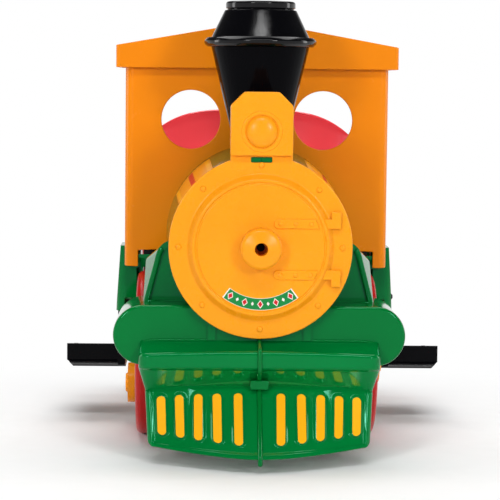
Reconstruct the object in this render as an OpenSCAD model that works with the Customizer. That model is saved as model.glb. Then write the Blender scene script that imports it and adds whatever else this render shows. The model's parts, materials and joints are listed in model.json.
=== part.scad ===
// Ride-on toy steam train for one small child: moulded body on a spine frame, four wheels joined
// by coupling rods, a geared motor on the rear axle and a seat that lifts over a bin.
// The train faces -Y, +Z is up, and the origin is on the ground under the middle of its box.

/* [Overall] */
// Length of the tender behind the cab
tender_l = 272; // [264:1:320]
// Wall of the large mouldings
wall = 4; // [3:0.5:5]

/* [Running gear] */
// Wheel diameter
wheel_d = 220; // [208:1:222]
// Wheel width
wheel_w = 42; // [36:1:44]
// Distance between the axles
wheelbase = 290; // [284:1:300]
// Front axle behind the pilot's nose
front_axle_in = 300; // [294:1:304]
// Axle diameter
axle_d = 12; // [9:0.5:14]
// Radius that the crank pins turn on
crank_r = 50; // [40:1:52]
// Crank angle of the left wheels, up from straight back
crank_left = -64; // [-180:1:180]
// Crank angle of the right wheels, up from straight back
crank_right = -22; // [-180:1:180]
// Thickness of a coupling rod
rod_t = 10; // [7:0.5:11]
// Radius of a coupling rod's eyes
rod_eye_r = 27; // [20:0.5:28]
// Height of a coupling rod between its eyes
rod_web_h = 20; // [14:0.5:22]
// Radius of a crank pin
pin_r = 6; // [4:0.5:7]

/* [Spine frame] */
// Width over the frame's side walls
frame_w = 214; // [204:1:216]
// Deck of the frame above the axles
deck_rise = 36; // [35:0.5:37]
// Depth of the frame below the axles
frame_drop = 48; // [44:1:56]

/* [Pilot] */
// Length from the nose to the cylinder block
pilot_l = 95; // [92:1:98]
// Half width of the top ledge
ledge_hw = 150.5; // [145:0.5:156]
// Half width of the grille at its foot
foot_hw = 139; // [132:1:142]
// Height of the ledge at its back
ledge_back_z = 152.5; // [150:0.5:156]
// Height of the ledge at its front edge
ledge_front_z = 143.5; // [140:0.5:146]
// Foot of the face under the ledge
face_foot_z = 119.5; // [116:0.5:124]
// Height of the crease between undercut and grille
crease_z = 100; // [96:0.5:104]
// Foot of the grille above the ground
foot_z = 18; // [15:0.5:28]
// Bars on each half of the grille
bar_n = 5; // [3:1:5]
// Spacing of the bars
bar_pitch = 24; // [21:0.5:24.5]
// Width of a bar
bar_w = 14; // [12:0.5:16]

/* [Cylinder block and saddle] */
// Width over the cylinder block
beam_w = 367; // [355:1:370]
// Height of the cylinder block
beam_h = 75.3; // [70:0.1:80]
// Height of the cylinder block's middle
beam_z = 158.4; // [156:0.1:161]
// Length of the cylinder block
beam_l = 118; // [105:1:125]
// Half width of the saddle
saddle_hw = 145.5; // [140:0.5:150]
// Top of the saddle's sides
saddle_z = 251; // [240:1:256]

/* [Boiler] */
// Height of the boiler's middle
boiler_z = 270.8; // [269:0.1:274]
// Radius of the barrel at the smokebox
barrel_r_front = 112; // [108:0.5:113]
// Radius of the barrel at the cab
barrel_r_rear = 121; // [116:0.5:121.5]
// Length of the barrel
barrel_l = 227; // [223:1:230]

/* [Smokebox front] */
// Radius of the flange
flange_r = 114.5; // [113.5:0.1:116]
// Radius of the door at its face
door_r = 80.7; // [76:0.1:84]
// Height of the door above the flange
door_h = 8; // [5:0.5:10]
// Radius of the middle knob
knob_r = 25.5; // [20:0.5:30]
// Length of the middle knob
knob_l = 28; // [20:0.5:28]
// Width of the lamp block
lamp_w = 77.2; // [70:0.1:84]
// Height of the lamp block
lamp_h = 78.6; // [72:0.1:84]

/* [Smokestack] */
// Smokestack behind the pilot's nose
stack_in = 190; // [186:1:196]
// Radius of the funnel at its foot
funnel_r_foot = 32; // [28:0.5:36]
// Radius of the funnel at its mouth
funnel_r_top = 63; // [56:0.5:66]
// Height of the funnel's mouth
funnel_z = 520.3; // [500:0.1:526]
// Radius of the ring round the mouth
ring_r = 72; // [68:0.5:76]
// Top of the smokestack
stack_z = 578; // [572:1:590]

/* [Cab] */
// Width over the cab walls
cab_w = 355.6; // [350:0.2:360]
// Radius of a window
window_r = 39.6; // [34:0.1:42]
// Windows away from the middle
window_x = 89.2; // [84:0.2:96]
// Height of the windows' middle
window_z = 424.6; // [416:0.2:430]
// Depth of the cab's side cheeks
cheek_l = 66; // [60:1:74]
// Width over the roof's eaves
roof_w = 380; // [372:1:390]
// Depth of the roof
roof_l = 142; // [120:1:150]
// Lower edge of the eaves
eave_z = 493.7; // [485:0.1:500]
// Height of the eave's face
eave_h = 29.8; // [26:0.1:34]
// Peak of the roof above the eaves
gable_h = 33.8; // [26:0.1:40]
// Width over the cab base at its top
tower_w_top = 368; // [364:1:372]
// Width over the cab base at its foot
tower_w_foot = 380; // [374:1:386]
// Top of the cab base
tower_z = 251; // [249:1:256]
// Foot of the cab base
tower_foot_z = 161; // [156:1:168]
// Length of the cab base
tower_l = 60; // [54:1:62]

/* [Seat] */
// Width of the seat
seat_w = 316; // [300:1:320]
// Top of the seat's back
seat_top_z = 442; // [430:1:450]
// Top of the seat's pan
seat_pan_z = 250; // [249.5:0.5:258]

/* [Foot-rests] */
// Width over both foot-rests
step_span = 522; // [490:1:540]
// Top of a foot-rest
step_z = 87.5; // [82:0.5:92]
// Thickness of a foot-rest
step_t = 11.5; // [9:0.5:14]
// Length of a foot-rest
step_l = 162; // [156:1:166]

/* [Drive] */
// Teeth of the output gear
output_n = 48; // [46:1:48]
// Teeth of both pinions
pinion_n = 12; // [12:1:13]
// Teeth of the idler's large gear
idler_n = 44; // [40:1:46]
// Module of the output stage
output_m = 1.1; // [1:0.05:1.1]
// Module of the motor stage
motor_m = 0.9; // [0.8:0.05:1]
// Radius of the motor's can
motor_r = 18; // [15:0.5:20]
// Length of the motor's can
motor_l = 52; // [40:1:60]

/* [Hidden] */
$fn = 72;

// Fits: seat of one moulding on another, running shaft in its bore, overrun of a cut
fit = 0.3;
run_fit = 0.08;
cut = 1;

// Colours
green = [0.0, 0.45, 0.22];
orange = [0.98, 0.62, 0.12];
deep_orange = [0.91, 0.52, 0.05];
red = [0.8, 0.1, 0.1];
yellow = [1.0, 0.74, 0.1];
black = [0.08, 0.08, 0.09];
steel = [0.7, 0.7, 0.72];
nylon = [0.92, 0.9, 0.84];
battery_grey = [0.35, 0.36, 0.38];

// Places along the train
tender_in = 468;
overall_l = tender_in + tender_l;
nose_y = -overall_l / 2;
tail_y = overall_l / 2;
beam_y = nose_y + pilot_l;
front_axle_y = nose_y + front_axle_in;
rear_axle_y = front_axle_y + wheelbase;
flange_gap = 8;
flange_back_y = beam_y - flange_gap;
barrel_y0 = flange_back_y + fit;
barrel_y1 = barrel_y0 + barrel_l;
cab_y = barrel_y1 + fit;
stack_y = nose_y + stack_in;

// Running gear
axle_r = axle_d / 2;
axle_z = wheel_d / 2;
wheel_gap = 10;
wheel_x0 = frame_w / 2 + wheel_gap;
wheel_x1 = wheel_x0 + wheel_w;
rod_gap = 3;
rod_x0 = wheel_x1 + rod_gap;
rod_x1 = rod_x0 + rod_t;
pin_cap_t = 3;
pin_cap_r = 13;
pin_x1 = rod_x1 + fit + pin_cap_t;
side_gap = 3;
skirt_x = pin_x1 + side_gap;
arch_gap = 8;
arch_r = wheel_d / 2 + arch_gap;
floor_z = axle_z + arch_r + arch_gap;
floor_t = 5;
floor_top = floor_z + floor_t;
rod_clear_z = axle_z + crank_r + rod_web_h / 2 + side_gap;
rod_sweep_r = crank_r + rod_eye_r + side_gap;
rim_t = 14;
tread_r = 9;
web_t = 9;
web_in = 8;
hub_r = 26;
spoke_n = 10;
spoke_w = 13;
boss_r = 15;
boss_depth = 18;
socket_r = 17;
socket_depth = 11;
dog_n = 3;
dog_w = 8;
dog_h = 4;
cap_r = 13;
cap_t = 7;
cap_floor = 2;
rod_flute = 2;
rod_flute_rim = 4;
bush_r = 10;
bush_flange_r = 15;

// Spine frame
deck_z = axle_z + deck_rise;
frame_z0 = axle_z - frame_drop;
frame_y0 = beam_y + fit;
frame_tail_in = 14;
frame_y1 = tail_y - frame_tail_in;
rib_in = 75;
sleeve_gap = 1.5;

// Pilot: outline from the ledge's back down to the foot, with its inner side a wall behind
ledge_l = 35;
crease_in = 78;
crease_hw = 142.5;
crease_drop = 9;
foot_rise = 6;
ledge_drop = 3.5;
nose_share = 0.62;
nose_r = 30;
bar_first_x = 27.5;
bar_h = 3;
bar_edge = 1.5;
bar_top_share = 0.125;
bar_foot_share = 0.82;
bar_steps = 6;
rim_share = 0.93;
rim_h = 2.5;
keel_w = 6.5;
keel_h = 4;
block_w = 22;
block_h = 6;
edge_r = 2.5;
rib_x = 60;
stripe_w = 10;
stripe_t = 0.6;
stripe_gap = 0.6;
stripe_end_share = 0.02;

// Cylinder block and saddle
beam_edge_r = 4;
saddle_in = 53;
saddle_l = 52;
saddle_foot_z = 190;
saddle_foot_hw = 147.5;
shoulder_r = 25;
shoulder_x = 107;
shoulder_z = 249.5;
saddle_rim = 7.5;
saddle_recess = 3;
saddle_edge_r = 10;
lug_w = 10;
lug_h = 3;
lug_top_z = 176;

// Boiler
barrel_split = 0.3;
tab_w = 26;
tab_h = 6;
tab_l = 3.5;
spigot_r = 20;
spigot_l = 10;
boss_screw_r = 12;

// Smokebox front
flange_t = 5;
flange_edge = 1.5;
door_slope = 10.8;
door_face = flange_t + door_h;
knob_cone = 4;
knob_rim = 3;
knob_hole_r = 8;
knob_floor = 4;
screw_r = 2;
screw_head_r = 5;
screw_head_t = 3;
screw_l = 12;
bolt_n = 8;
bolt_ring_r = 102;
bolt_r = 3.7;
bolt_h = 2;
strap_t = 1.6;
strap_x0 = 15.7;
strap_x1 = 100;
strap_up_z = 30;
strap_down_z = -33.5;
strap_w = 12.5;
strap_end_w = 11;
strap_end_l = 9;
rivet_first_x = 24.5;
rivet_pitch = 19.3;
rivet_n = 3;
rivet_r = 3;
lamp_in = 7;
lamp_l = 45;
lamp_chamfer = 17;
lamp_z0 = boiler_z + flange_r - 2 * fit;
dome_rise = 29.7;
dome_r = 21;
dome_ring = 4;
dome_h = 9;
dome_ring_h = 2.5;
neck_drop = 20;
slot_w = 26.5;
slot_h = 7;
slot_drop = 5.2;

// Smokestack
ring_h = 11.7;
rim_r = 44.7;
rim_h_top = 9;
groove = 2;
cone_r_top = 46;
stack_recess = 14;
cap_seat_in = 2;
lip = 5;

// Cab
wall_corner_r = 12;
wall_edge_z = 247;
wall_edge_rise = 6;
leg_w = 18.5;
leg_z = 225;
roof_in = 10;
roof_round = 5;
tower_gap = 21;
tower_y0 = cab_y + wall + tower_gap;
tower_y1 = tower_y0 + tower_l;
tower_corner_r = 14;
tower_lip = 3;
tower_pad_h = 5;
tower_x0 = 158;
pillar_w = 150;
power_z = 181;
power_in = 25;
power_r = 4.5;
power_out = 3.5;
power_l = 12;
power_share = (power_z - tower_foot_z) / (tower_z - tower_foot_z);
power_x = (tower_w_foot + (tower_w_top - tower_w_foot) * power_share) / 2;

// Console and handle
console_side_in = 21.8;
console_hw = cab_w / 2 - wall - console_side_in;
console_l = 44;
console_top_z = 334;
console_rear_z = 300;
console_flat = 26;
console_edge_r = 6;
bar_y_in = 88;
bar_z = 318;
grip_r = 12;
grip_l = 118;
handle_boss_r = 22;
handle_boss_w = 44;
grip_ring_n = 5;
grip_ring = 2;
button_x = 82;
button_r = 11;
button_rise = 6;
button_depth = 8;
button_well = 14;
button_edge = 2;

// Tender and seat
tender_y0 = nose_y + tender_in;
tender_hw = 184;
tender_corner_r = 16;
skirt_drop = 26;
tail_panel_z = 96;
seat_t = 5;
seat_gap = 4;
seat_y0 = tender_y0 - seat_t - seat_gap;
seat_short = 78.6;
seat_l = tender_l - seat_short;
seat_lip_z = 228;
seat_lean = 14;
seat_y1 = seat_y0 + seat_l;
seat_bolster = 22;
seat_side_rise = 14;
seat_rim_h = 5;
seat_crown = 46;
seat_rim_share = 0.86;
seat_top_share = 0.95;
seat_bend_share = 0.035;
seat_probe_share = 0.01;
seat_crown_share = 0.55;
seat_pan_shares = [0.04, 0.2];
seat_back_shares = [0.5, 0.75];
seat_wing_power = 4;
seat_crown_power = 3.7;
seat_steps = 26;
seat_columns = 20;
hinge_back = 14;
bin_in = 24;
bin_y1 = seat_y1 - bin_in;
hinge_r = 3;
hinge_eye_r = 8;
hinge_y = seat_y1 + seat_lean + hinge_eye_r + hinge_back;
hinge_z = floor_top + hinge_eye_r + fit;
hinge_x = 70;
hinge_w = 24;
hinge_lug_w = 10;
bracket_l = 46;
battery_w = 100;
battery_l = 72;
battery_h = 62;
battery_edge_r = 6;
battery_lid = 8;

// Foot-rests
step_in = 400;
step_chamfer = 9;
step_lip = 2.5;
step_lip_w = 6;
guard_h = 22;
guard_t = 4;
guard_in = 5;
post_up = 4;
step_post_t = 10;
step_post_l = 26;
tread_n = 6;
tread_w = 4;
tread_h = 1.2;
stud_r = 3;
stud_in = 8;

// Gear train on the rear axle, seen along +X
pressure = 25;
addendum_share = 0.8;
dedendum_share = 1.05;
backlash = 0.12;
gear_w = 10;
idler_w = 8;
gear_gap = 3;
case_wall = 2.5;
case_gap = 1.5;
output_pr = output_n * output_m / 2;
output_pinion_pr = pinion_n * output_m / 2;
idler_pr = idler_n * motor_m / 2;
motor_pinion_pr = pinion_n * motor_m / 2;
output_tip = output_pr + addendum_share * output_m;
motor_tip = motor_pinion_pr + addendum_share * motor_m;
idler_y = rear_axle_y - output_pr - output_pinion_pr;
motor_y = idler_y - idler_pr - motor_pinion_pr;
case_in = 10;
case_x1 = frame_w / 2 - wall - case_in;
gear_x1 = case_x1 - case_wall - gear_gap;
gear_x0 = gear_x1 - gear_w;
idler_x1 = gear_x0 - gear_gap;
idler_x0 = idler_x1 - idler_w;
case_x0 = idler_x0 - gear_gap - case_wall;
case_mid_x = (gear_x0 + idler_x1) / 2;
case_h = output_tip + case_gap + case_wall;
case_y0 = motor_y - motor_r;
case_y1 = rear_axle_y + case_h;
case_round = 10;
case_collar_r = 26;
sleeve_r = 16;
idler_shaft_r = 3;
motor_shaft_r = 1.6;
motor_boss_r = 6;
motor_shaft_in = 20;
case_screw_in = 7;
case_screw_r = 1.5;
case_screw_head_r = 3.2;
case_screw_head_t = 2;

// A box from one corner to the other
module block(lo, hi) {
    translate(lo) cube(hi - lo);
}

// A shape and its mirror image on the other side of the train
module both_sides() {
    children();
    mirror([1, 0, 0]) children();
}

// A shape on one side only: 1 is right, -1 is left
module on_side(side) {
    if (side > 0) children();
    else mirror([1, 0, 0]) children();
}

// An outline in (y, z) carried along X
module side_shape(x0, x1) {
    translate([x0, 0, 0]) rotate([90, 0, 90]) linear_extrude(x1 - x0) children();
}

// An outline in (x, z) carried along Y
module front_shape(y0, y1) {
    translate([0, y1, 0]) rotate([90, 0, 0]) linear_extrude(y1 - y0) children();
}

// A piece drawn about its own Z axis and turned to lie along X
module across(x, y, z) {
    translate([x, y, z]) rotate([90, 0, 90]) children();
}

// A piece drawn about its own Z axis and turned to face the front
module facing(y, z) {
    translate([0, y, z]) rotate([90, 0, 0]) children();
}

// A flat rectangle with round corners
module rounded(lo, hi, r) {
    span = hi - lo;
    translate([lo[0] + r, lo[1]]) square([span[0] - 2 * r, span[1]]);
    translate([lo[0], lo[1] + r]) square([span[0], span[1] - 2 * r]);
    for (x = [lo[0] + r, hi[0] - r], y = [lo[1] + r, hi[1] - r]) translate([x, y]) circle(r);
}

// The barrel's cone, grown outwards by a gap
module barrel_cone(grow) {
    translate([0, barrel_y0 - grow, boiler_z]) rotate([-90, 0, 0])
        cylinder(r1 = barrel_r_front + grow, r2 = barrel_r_rear + grow, h = barrel_l + 2 * grow);
}

// The arches round both wheels of one axle, between the frame and the rods
module wheel_arches(y) {
    x = frame_w / 2;
    both_sides() across(x, y, axle_z) cylinder(r = arch_r, h = rod_x0 - x);
}

// Spine frame: a channel open below, with two cross ribs and the axles' holes
module spine_frame() {
    x = frame_w / 2;
    color(green) difference() {
        union() {
            difference() {
                block([-x, frame_y0, frame_z0], [x, frame_y1, deck_z]);
                block([wall - x, frame_y0 + wall, frame_z0 - cut],
                    [x - wall, frame_y1 - wall, deck_z - wall]);
            }
            for (side = [-1, 1]) {
                y = front_axle_y + side * rib_in;
                block([-x, y - wall / 2, frame_z0 + wall], [x, y + wall / 2, deck_z]);
            }
        }
        across(-x - cut, front_axle_y, axle_z) cylinder(r = bush_r + run_fit, h = frame_w + 2 * cut);
        across(-x - cut, rear_axle_y, axle_z) cylinder(r = bush_r + run_fit, h = x);
        across(cut, rear_axle_y, axle_z) cylinder(r = sleeve_r + sleeve_gap, h = x);
    }
}

// One cylinder-block form with round edges on its front: two turned ends and a straight middle
module capsule(grow, y0, y1) {
    r = beam_h / 2 + grow;
    e = beam_edge_r;
    x = beam_w / 2 - beam_h / 2;
    module section() {
        square([r - e, y1 - y0]);
        square([r, y1 - y0 - e]);
        translate([r - e, y1 - y0 - e]) circle(e);
    }
    both_sides() translate([x, y1, beam_z]) rotate([90, 0, 0]) rotate_extrude() intersection() {
        section();
        square([r, y1 - y0]);
    }
    side_shape(-x, x) intersection() {
        translate([y1, beam_z]) rotate(90) union() {
            section();
            mirror([1, 0]) section();
        }
        translate([y0, beam_z - r]) square([y1 - y0, 2 * r]);
    }
}

// Saddle face outline with round shoulders, drawn in by a rim
module saddle_face(inset) {
    w = saddle_foot_hw - inset;
    hull() {
        translate([-w, saddle_foot_z + inset]) square([2 * w, fit]);
        for (side = [-1, 1]) translate([side * shoulder_x, shoulder_z]) circle(shoulder_r - inset);
    }
}

// Cylinder block and saddle: a hollow capsule across the train and the cradle that holds the boiler
module cylinder_saddle() {
    x = frame_w / 2 + fit;
    y1 = beam_y + beam_l;
    face_y = beam_y + saddle_in;
    color(green) difference() {
        union() {
            difference() {
                capsule(0, beam_y, y1);
                capsule(-wall, beam_y + wall, y1 + cut);
            }
            difference() {
                hull() {
                    front_shape(face_y, face_y + wall) saddle_face(0);
                    front_shape(face_y + saddle_l - wall, face_y + saddle_l)
                        rounded([-saddle_hw, saddle_foot_z], [saddle_hw, saddle_z], saddle_edge_r, $fn = 32);
                }
                front_shape(face_y - cut, face_y + saddle_recess) saddle_face(saddle_rim);
            }
            both_sides() block([rib_x - lug_w / 2, beam_y - lug_h, ledge_back_z + fit],
                [rib_x + lug_w / 2, beam_y + wall, lug_top_z]);
        }
        barrel_cone(fit);
        block([-x, beam_y - cut, frame_z0], [x, y1 + cut, deck_z + fit]);
        wheel_arches(front_axle_y);
    }
}

// Pilot surface. share runs from 0 at the crease to 1 at the foot.
function smooth_step(a, b, x) = let (t = max(0, min(1, (x - a) / (b - a)))) t * t * (3 - 2 * t);
function nose_in(x) = sqrt(pow(nose_share * x, 2) + pow(nose_r, 2)) - nose_r;
function crease_height(x) = crease_z - crease_drop * pow(x / crease_hw, 2);
function foot_height(x) = foot_z + foot_rise * pow(x / crease_hw, 2);
function ledge_height(x) = ledge_front_z - ledge_drop * pow(x / crease_hw, 2);
function bar_middle(i) = bar_first_x + i * bar_pitch;

// A point on the grille: straight from crease to foot, pushed forwards by a lift
function grille(x, share, lift) = let (
    half = crease_hw + (foot_hw - crease_hw) * share,
    y1 = nose_in(x * foot_hw / crease_hw) + keel_h + rim_h,
    z0 = crease_height(x))
    [x * half / crease_hw, nose_y + crease_in + (y1 - crease_in) * share - lift,
        z0 + (foot_height(x) - z0) * share];

// Rows down the grille: its share, whether the bars stand there, the rim, and the keel's foot block
edge_share = bar_edge / crease_z;
function bar_share(i) = bar_top_share + (bar_foot_share - bar_top_share) * i / bar_steps;
grille_rows = concat(
    [[0, 0, 0, 1], [bar_top_share - edge_share, 0, 0, 1]],
    [for (i = [0:bar_steps]) [bar_share(i), 1, 0, 0]],
    [[bar_foot_share + edge_share, 0, 0, 0], [rim_share - edge_share, 0, 0, 0]],
    [[rim_share, 0, 1, 0], [1, 0, 1, 0]]);

// Places across half of the pilot: x, then whether keel, keel block, bar and end plate stand there
pilot_half = concat(
    [[0, 1, 1, 0, 0], [keel_w / 2, 1, 1, 0, 0], [keel_w / 2 + bar_edge, 0, 1, 0, 0]],
    [[block_w / 2, 0, 1, 0, 0], [block_w / 2 + bar_edge, 0, 0, 0, 0]],
    [for (i = [0:bar_n - 1], side = [-1, 1])
        let (x = bar_middle(i) + side * bar_w / 2, e = x + side * bar_edge)
        each side < 0 ? [[e, 0, 0, 0, 0], [x, 0, 0, 1, 0]] : [[x, 0, 0, 1, 0], [e, 0, 0, 0, 0]]],
    [[crease_hw - wall - bar_edge, 0, 0, 0, 0], [crease_hw - wall, 0, 0, 0, 1], [crease_hw, 0, 0, 0, 1]]);
pilot_columns = concat(
    [for (i = [len(pilot_half) - 1:-1:1]) let (c = pilot_half[i]) [-c[0], c[1], c[2], c[3], c[4]]],
    pilot_half);

// Section of the pilot at one column: the outer side from ledge to foot, then the inner side back up
function pilot_section(c) = let (
    x = c[0],
    wide = x * ledge_hw / crease_hw,
    k = c[1] * keel_h,
    e = edge_r,
    y0 = nose_y + pilot_l - ledge_l,
    y1 = beam_y - fit,
    front = ledge_height(x),
    rise = e * (ledge_back_z - front) / ledge_l,
    outer = concat(
        [[wide, y1, ledge_back_z], [wide, y0 + e - k, front + rise]],
        [[wide, y0 - k, front - e], [wide, y0 - k, face_foot_z + e], [wide, y0 + e - k, face_foot_z]],
        [for (r = grille_rows)
            grille(x, r[0], max(k, c[2] * r[3] * block_h) + c[3] * r[1] * bar_h + r[2] * rim_h)]),
    inner = concat(
        [[wide, y1, ledge_back_z - wall], [wide, y0 + e + wall, front - wall],
            [wide, y0 + wall, front - wall - e], [wide, y0 + wall, face_foot_z + wall + e],
            [wide, y0 + e + wall, face_foot_z + wall]],
        [for (r = grille_rows) let (p = grille(x, r[0], -wall)) [p[0], min(p[1], y1 - fit), p[2]]]),
    n = len(outer))
    concat(outer, [for (j = [n - 1:-1:0]) c[4] > 0 && j > 0 ? [outer[j][0], y1, outer[j][2]] : inner[j]]);

// A closed skin over sections whose second half lies behind the first, with a strip across each end
module section_skin(sections) {
    n = len(sections[0]);
    m = len(sections);
    half = n / 2;
    sides = [for (i = [0:m - 2], j = [0:n - 1]) let (a = i * n + j, b = i * n + (j + 1) % n)
        each [[a, b, a + n], [b, b + n, a + n]]];
    first = [for (j = [0:half - 2]) each [[j, n - 1 - j, j + 1], [j + 1, n - 1 - j, n - 2 - j]]];
    last = [for (f = first) [for (k = [2:-1:0]) f[k] + (m - 1) * n]];
    polyhedron([for (s = sections) each s], concat(sides, first, last), convexity = 10);
}

// Pilot: the ledge, its undercut and the barred grille in one lofted moulding with closed ends
module pilot() {
    color(green) section_skin([for (c = pilot_columns) pilot_section(c)]);
}

// Yellow stripes laid on the pilot's bars
module pilot_stripes() {
    e = stripe_end_share;
    low = bar_h + stripe_gap;
    shares = [for (i = [0:bar_steps]) max(bar_top_share + e, min(bar_foot_share - e, bar_share(i)))];
    color(yellow) both_sides() for (i = [0:bar_n - 1])
        section_skin([for (side = [-1, 1]) let (x = bar_middle(i) + side * stripe_w / 2)
            concat([for (j = [0:bar_steps]) grille(x, shares[j], low + stripe_t)],
                [for (j = [bar_steps:-1:0]) grille(x, shares[j], low)])]);
}

// One half of the boiler barrel: a tapered shell with half a front wall and a locating tab
module boiler_half() {
    difference() {
        union() {
            difference() {
                barrel_cone(0);
                translate([0, barrel_y0 + wall, boiler_z]) rotate([-90, 0, 0])
                    cylinder(r1 = barrel_r_front - wall, r2 = barrel_r_rear - wall, h = barrel_l - 2 * wall);
            }
            facing(barrel_y0 + screw_l + wall, boiler_z) cylinder(r = boss_screw_r, h = screw_l + wall / 2);
            block([-tab_w / 2, barrel_y0 - tab_l, lamp_z0 - slot_drop - tab_h / 2],
                [tab_w / 2, barrel_y0 + wall, lamp_z0 - slot_drop + tab_h / 2]);
        }
        facing(barrel_y0 + screw_l + wall + cut, boiler_z)
            cylinder(r = screw_r + run_fit, h = screw_l + wall + 2 * cut);
        translate([0, stack_y, boiler_z]) cylinder(r = spigot_r + fit, h = barrel_r_rear + wall);
        block([-barrel_r_rear - cut, barrel_y0 - tab_l - cut, boiler_z - barrel_r_rear - cut],
            [barrel_split / 2, barrel_y1 + cut, boiler_z + barrel_r_rear + cut]);
    }
}

// Right half of the boiler
module boiler_right() {
    color(green) boiler_half();
}

// Left half of the boiler
module boiler_left() {
    color(green) mirror([1, 0, 0]) boiler_half();
}

// Section of the smokebox front from its middle out, pushed forwards by a lift
module smokebox_section(lift) {
    face = door_face + lift;
    tip = door_face + knob_l;
    slope_r = door_r + door_slope;
    edge = flange_t + lift;
    polygon([[0, knob_floor], [knob_hole_r, knob_floor], [knob_hole_r, tip],
        [knob_r - knob_rim, tip - knob_cone], [knob_r, tip - knob_cone - knob_rim], [knob_r, face],
        [door_r, face], [slope_r, edge], [flange_r - flange_edge, edge], [flange_r, edge - flange_edge],
        [flange_r, 0], [slope_r - wall, 0], [door_r - wall, door_face - wall],
        [boss_screw_r, door_face - wall], [boss_screw_r, 0], [0, 0]]);
}

// One hinge strap with its turned end, as a flat outline
module strap(z, turn) {
    translate([strap_x0, z - strap_w / 2]) square([strap_x1 - strap_x0, strap_w]);
    translate([strap_x1 - strap_end_w, turn > 0 ? z : z - strap_w / 2 - strap_end_l])
        square([strap_end_w, strap_w / 2 + strap_end_l]);
}

// Smokebox front: flange, door, knob, straps, bolts and lamp block in one moulding
module smokebox_front() {
    lamp_y = flange_back_y - flange_t - lamp_in;
    z0 = lamp_z0;
    z1 = z0 + lamp_h;
    x = lamp_w / 2;
    c = lamp_chamfer;
    color(orange) difference() {
        union() {
            facing(flange_back_y, boiler_z) {
                rotate_extrude() smokebox_section(0);
                intersection() {
                    rotate_extrude() smokebox_section(strap_t);
                    linear_extrude(door_face + strap_t) {
                        strap(strap_up_z, 1);
                        strap(strap_down_z, -1);
                    }
                }
                for (z = [strap_up_z, strap_down_z], i = [0:rivet_n - 1])
                    translate([rivet_first_x + i * rivet_pitch, z, door_face])
                        cylinder(r = rivet_r, h = 2 * strap_t);
                for (i = [0:bolt_n - 1]) rotate(i * 360 / bolt_n)
                    translate([bolt_ring_r, 0, flange_t - bolt_h]) cylinder(r = bolt_r, h = 2 * bolt_h);
            }
            front_shape(lamp_y, lamp_y + lamp_l)
                polygon([[-x, z0], [x, z0], [x, z1 - c], [x - c, z1], [c - x, z1], [-x, z1 - c]]);
            block([-x, flange_back_y - flange_t, z0 - neck_drop], [x, flange_back_y, z0 + lip]);
            facing(lamp_y + lip, z0 + dome_rise) {
                difference() {
                    cylinder(r = dome_r + dome_ring, h = lip + dome_ring_h);
                    translate([0, 0, lip]) cylinder(r = dome_r, h = dome_ring_h + cut);
                }
                dome_ball = (dome_r * dome_r + dome_h * dome_h) / (2 * dome_h);
                translate([0, 0, lip + dome_h - dome_ball]) intersection() {
                    sphere(dome_ball);
                    translate([0, 0, dome_ball - dome_h - lip]) cylinder(r = dome_r, h = dome_h + 2 * lip);
                }
            }
        }
        barrel_cone(fit);
        front_shape(lamp_y - cut, flange_back_y + cut) translate([-slot_w / 2, z0 - slot_drop - slot_h / 2])
            square([slot_w, slot_h]);
        facing(flange_back_y + cut, boiler_z) cylinder(r = screw_r + run_fit, h = knob_floor + 2 * cut);
    }
}

// Screw at the bottom of the knob's hole
module smokebox_screw() {
    color(steel) facing(flange_back_y - knob_floor, boiler_z) {
        cylinder(r = screw_head_r, h = screw_head_t);
        translate([0, 0, -screw_l]) cylinder(r = screw_r, h = screw_l + cut);
    }
}

// Funnel: a conical shell that saddles the barrel, with a spigot through its top
module smokestack_funnel() {
    foot = boiler_z + barrel_r_front - spigot_l;
    base = boiler_z + barrel_r_rear + lip;
    color(black) {
        difference() {
            translate([0, stack_y, 0]) rotate_extrude() polygon([[0, foot], [funnel_r_foot, foot],
                [funnel_r_foot, base - lip], [funnel_r_top, funnel_z], [funnel_r_top - wall, funnel_z],
                [funnel_r_foot - wall, base], [0, base]]);
            barrel_cone(fit);
        }
        translate([0, stack_y, foot]) cylinder(r = spigot_r, h = base - foot);
    }
}

// Cap: the ring round the funnel's mouth, the upper cone and the rim, with a shallow open top
module smokestack_cap() {
    top = stack_z;
    cone = top - rim_h_top - groove;
    z0 = funnel_z;
    z1 = funnel_z + ring_h;
    e = ring_h / 3;
    seat = funnel_r_top - wall - cap_seat_in;
    g = rim_r - groove;
    color(black) translate([0, stack_y, 0]) rotate_extrude() polygon([[0, z0 - lip], [seat, z0 - lip],
        [seat, z0], [ring_r - e, z0], [ring_r, z0 + e], [ring_r, z1 - e], [ring_r - e, z1],
        [funnel_r_top, z1], [cone_r_top, cone], [g, cone], [g, top - rim_h_top], [rim_r, top - rim_h_top],
        [rim_r, top - groove], [g, top], [rim_r - lip, top], [rim_r - lip, top - stack_recess],
        [0, top - stack_recess]]);
}

// Top line of the cab under the roof: a gable, raised by a gap
module gable_under(grow, low) {
    x = roof_w / 2;
    z = eave_z + eave_h;
    polygon([[-x, low], [x, low], [x, z + grow], [0, z + gable_h + grow], [-x, z + grow]]);
}

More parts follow.
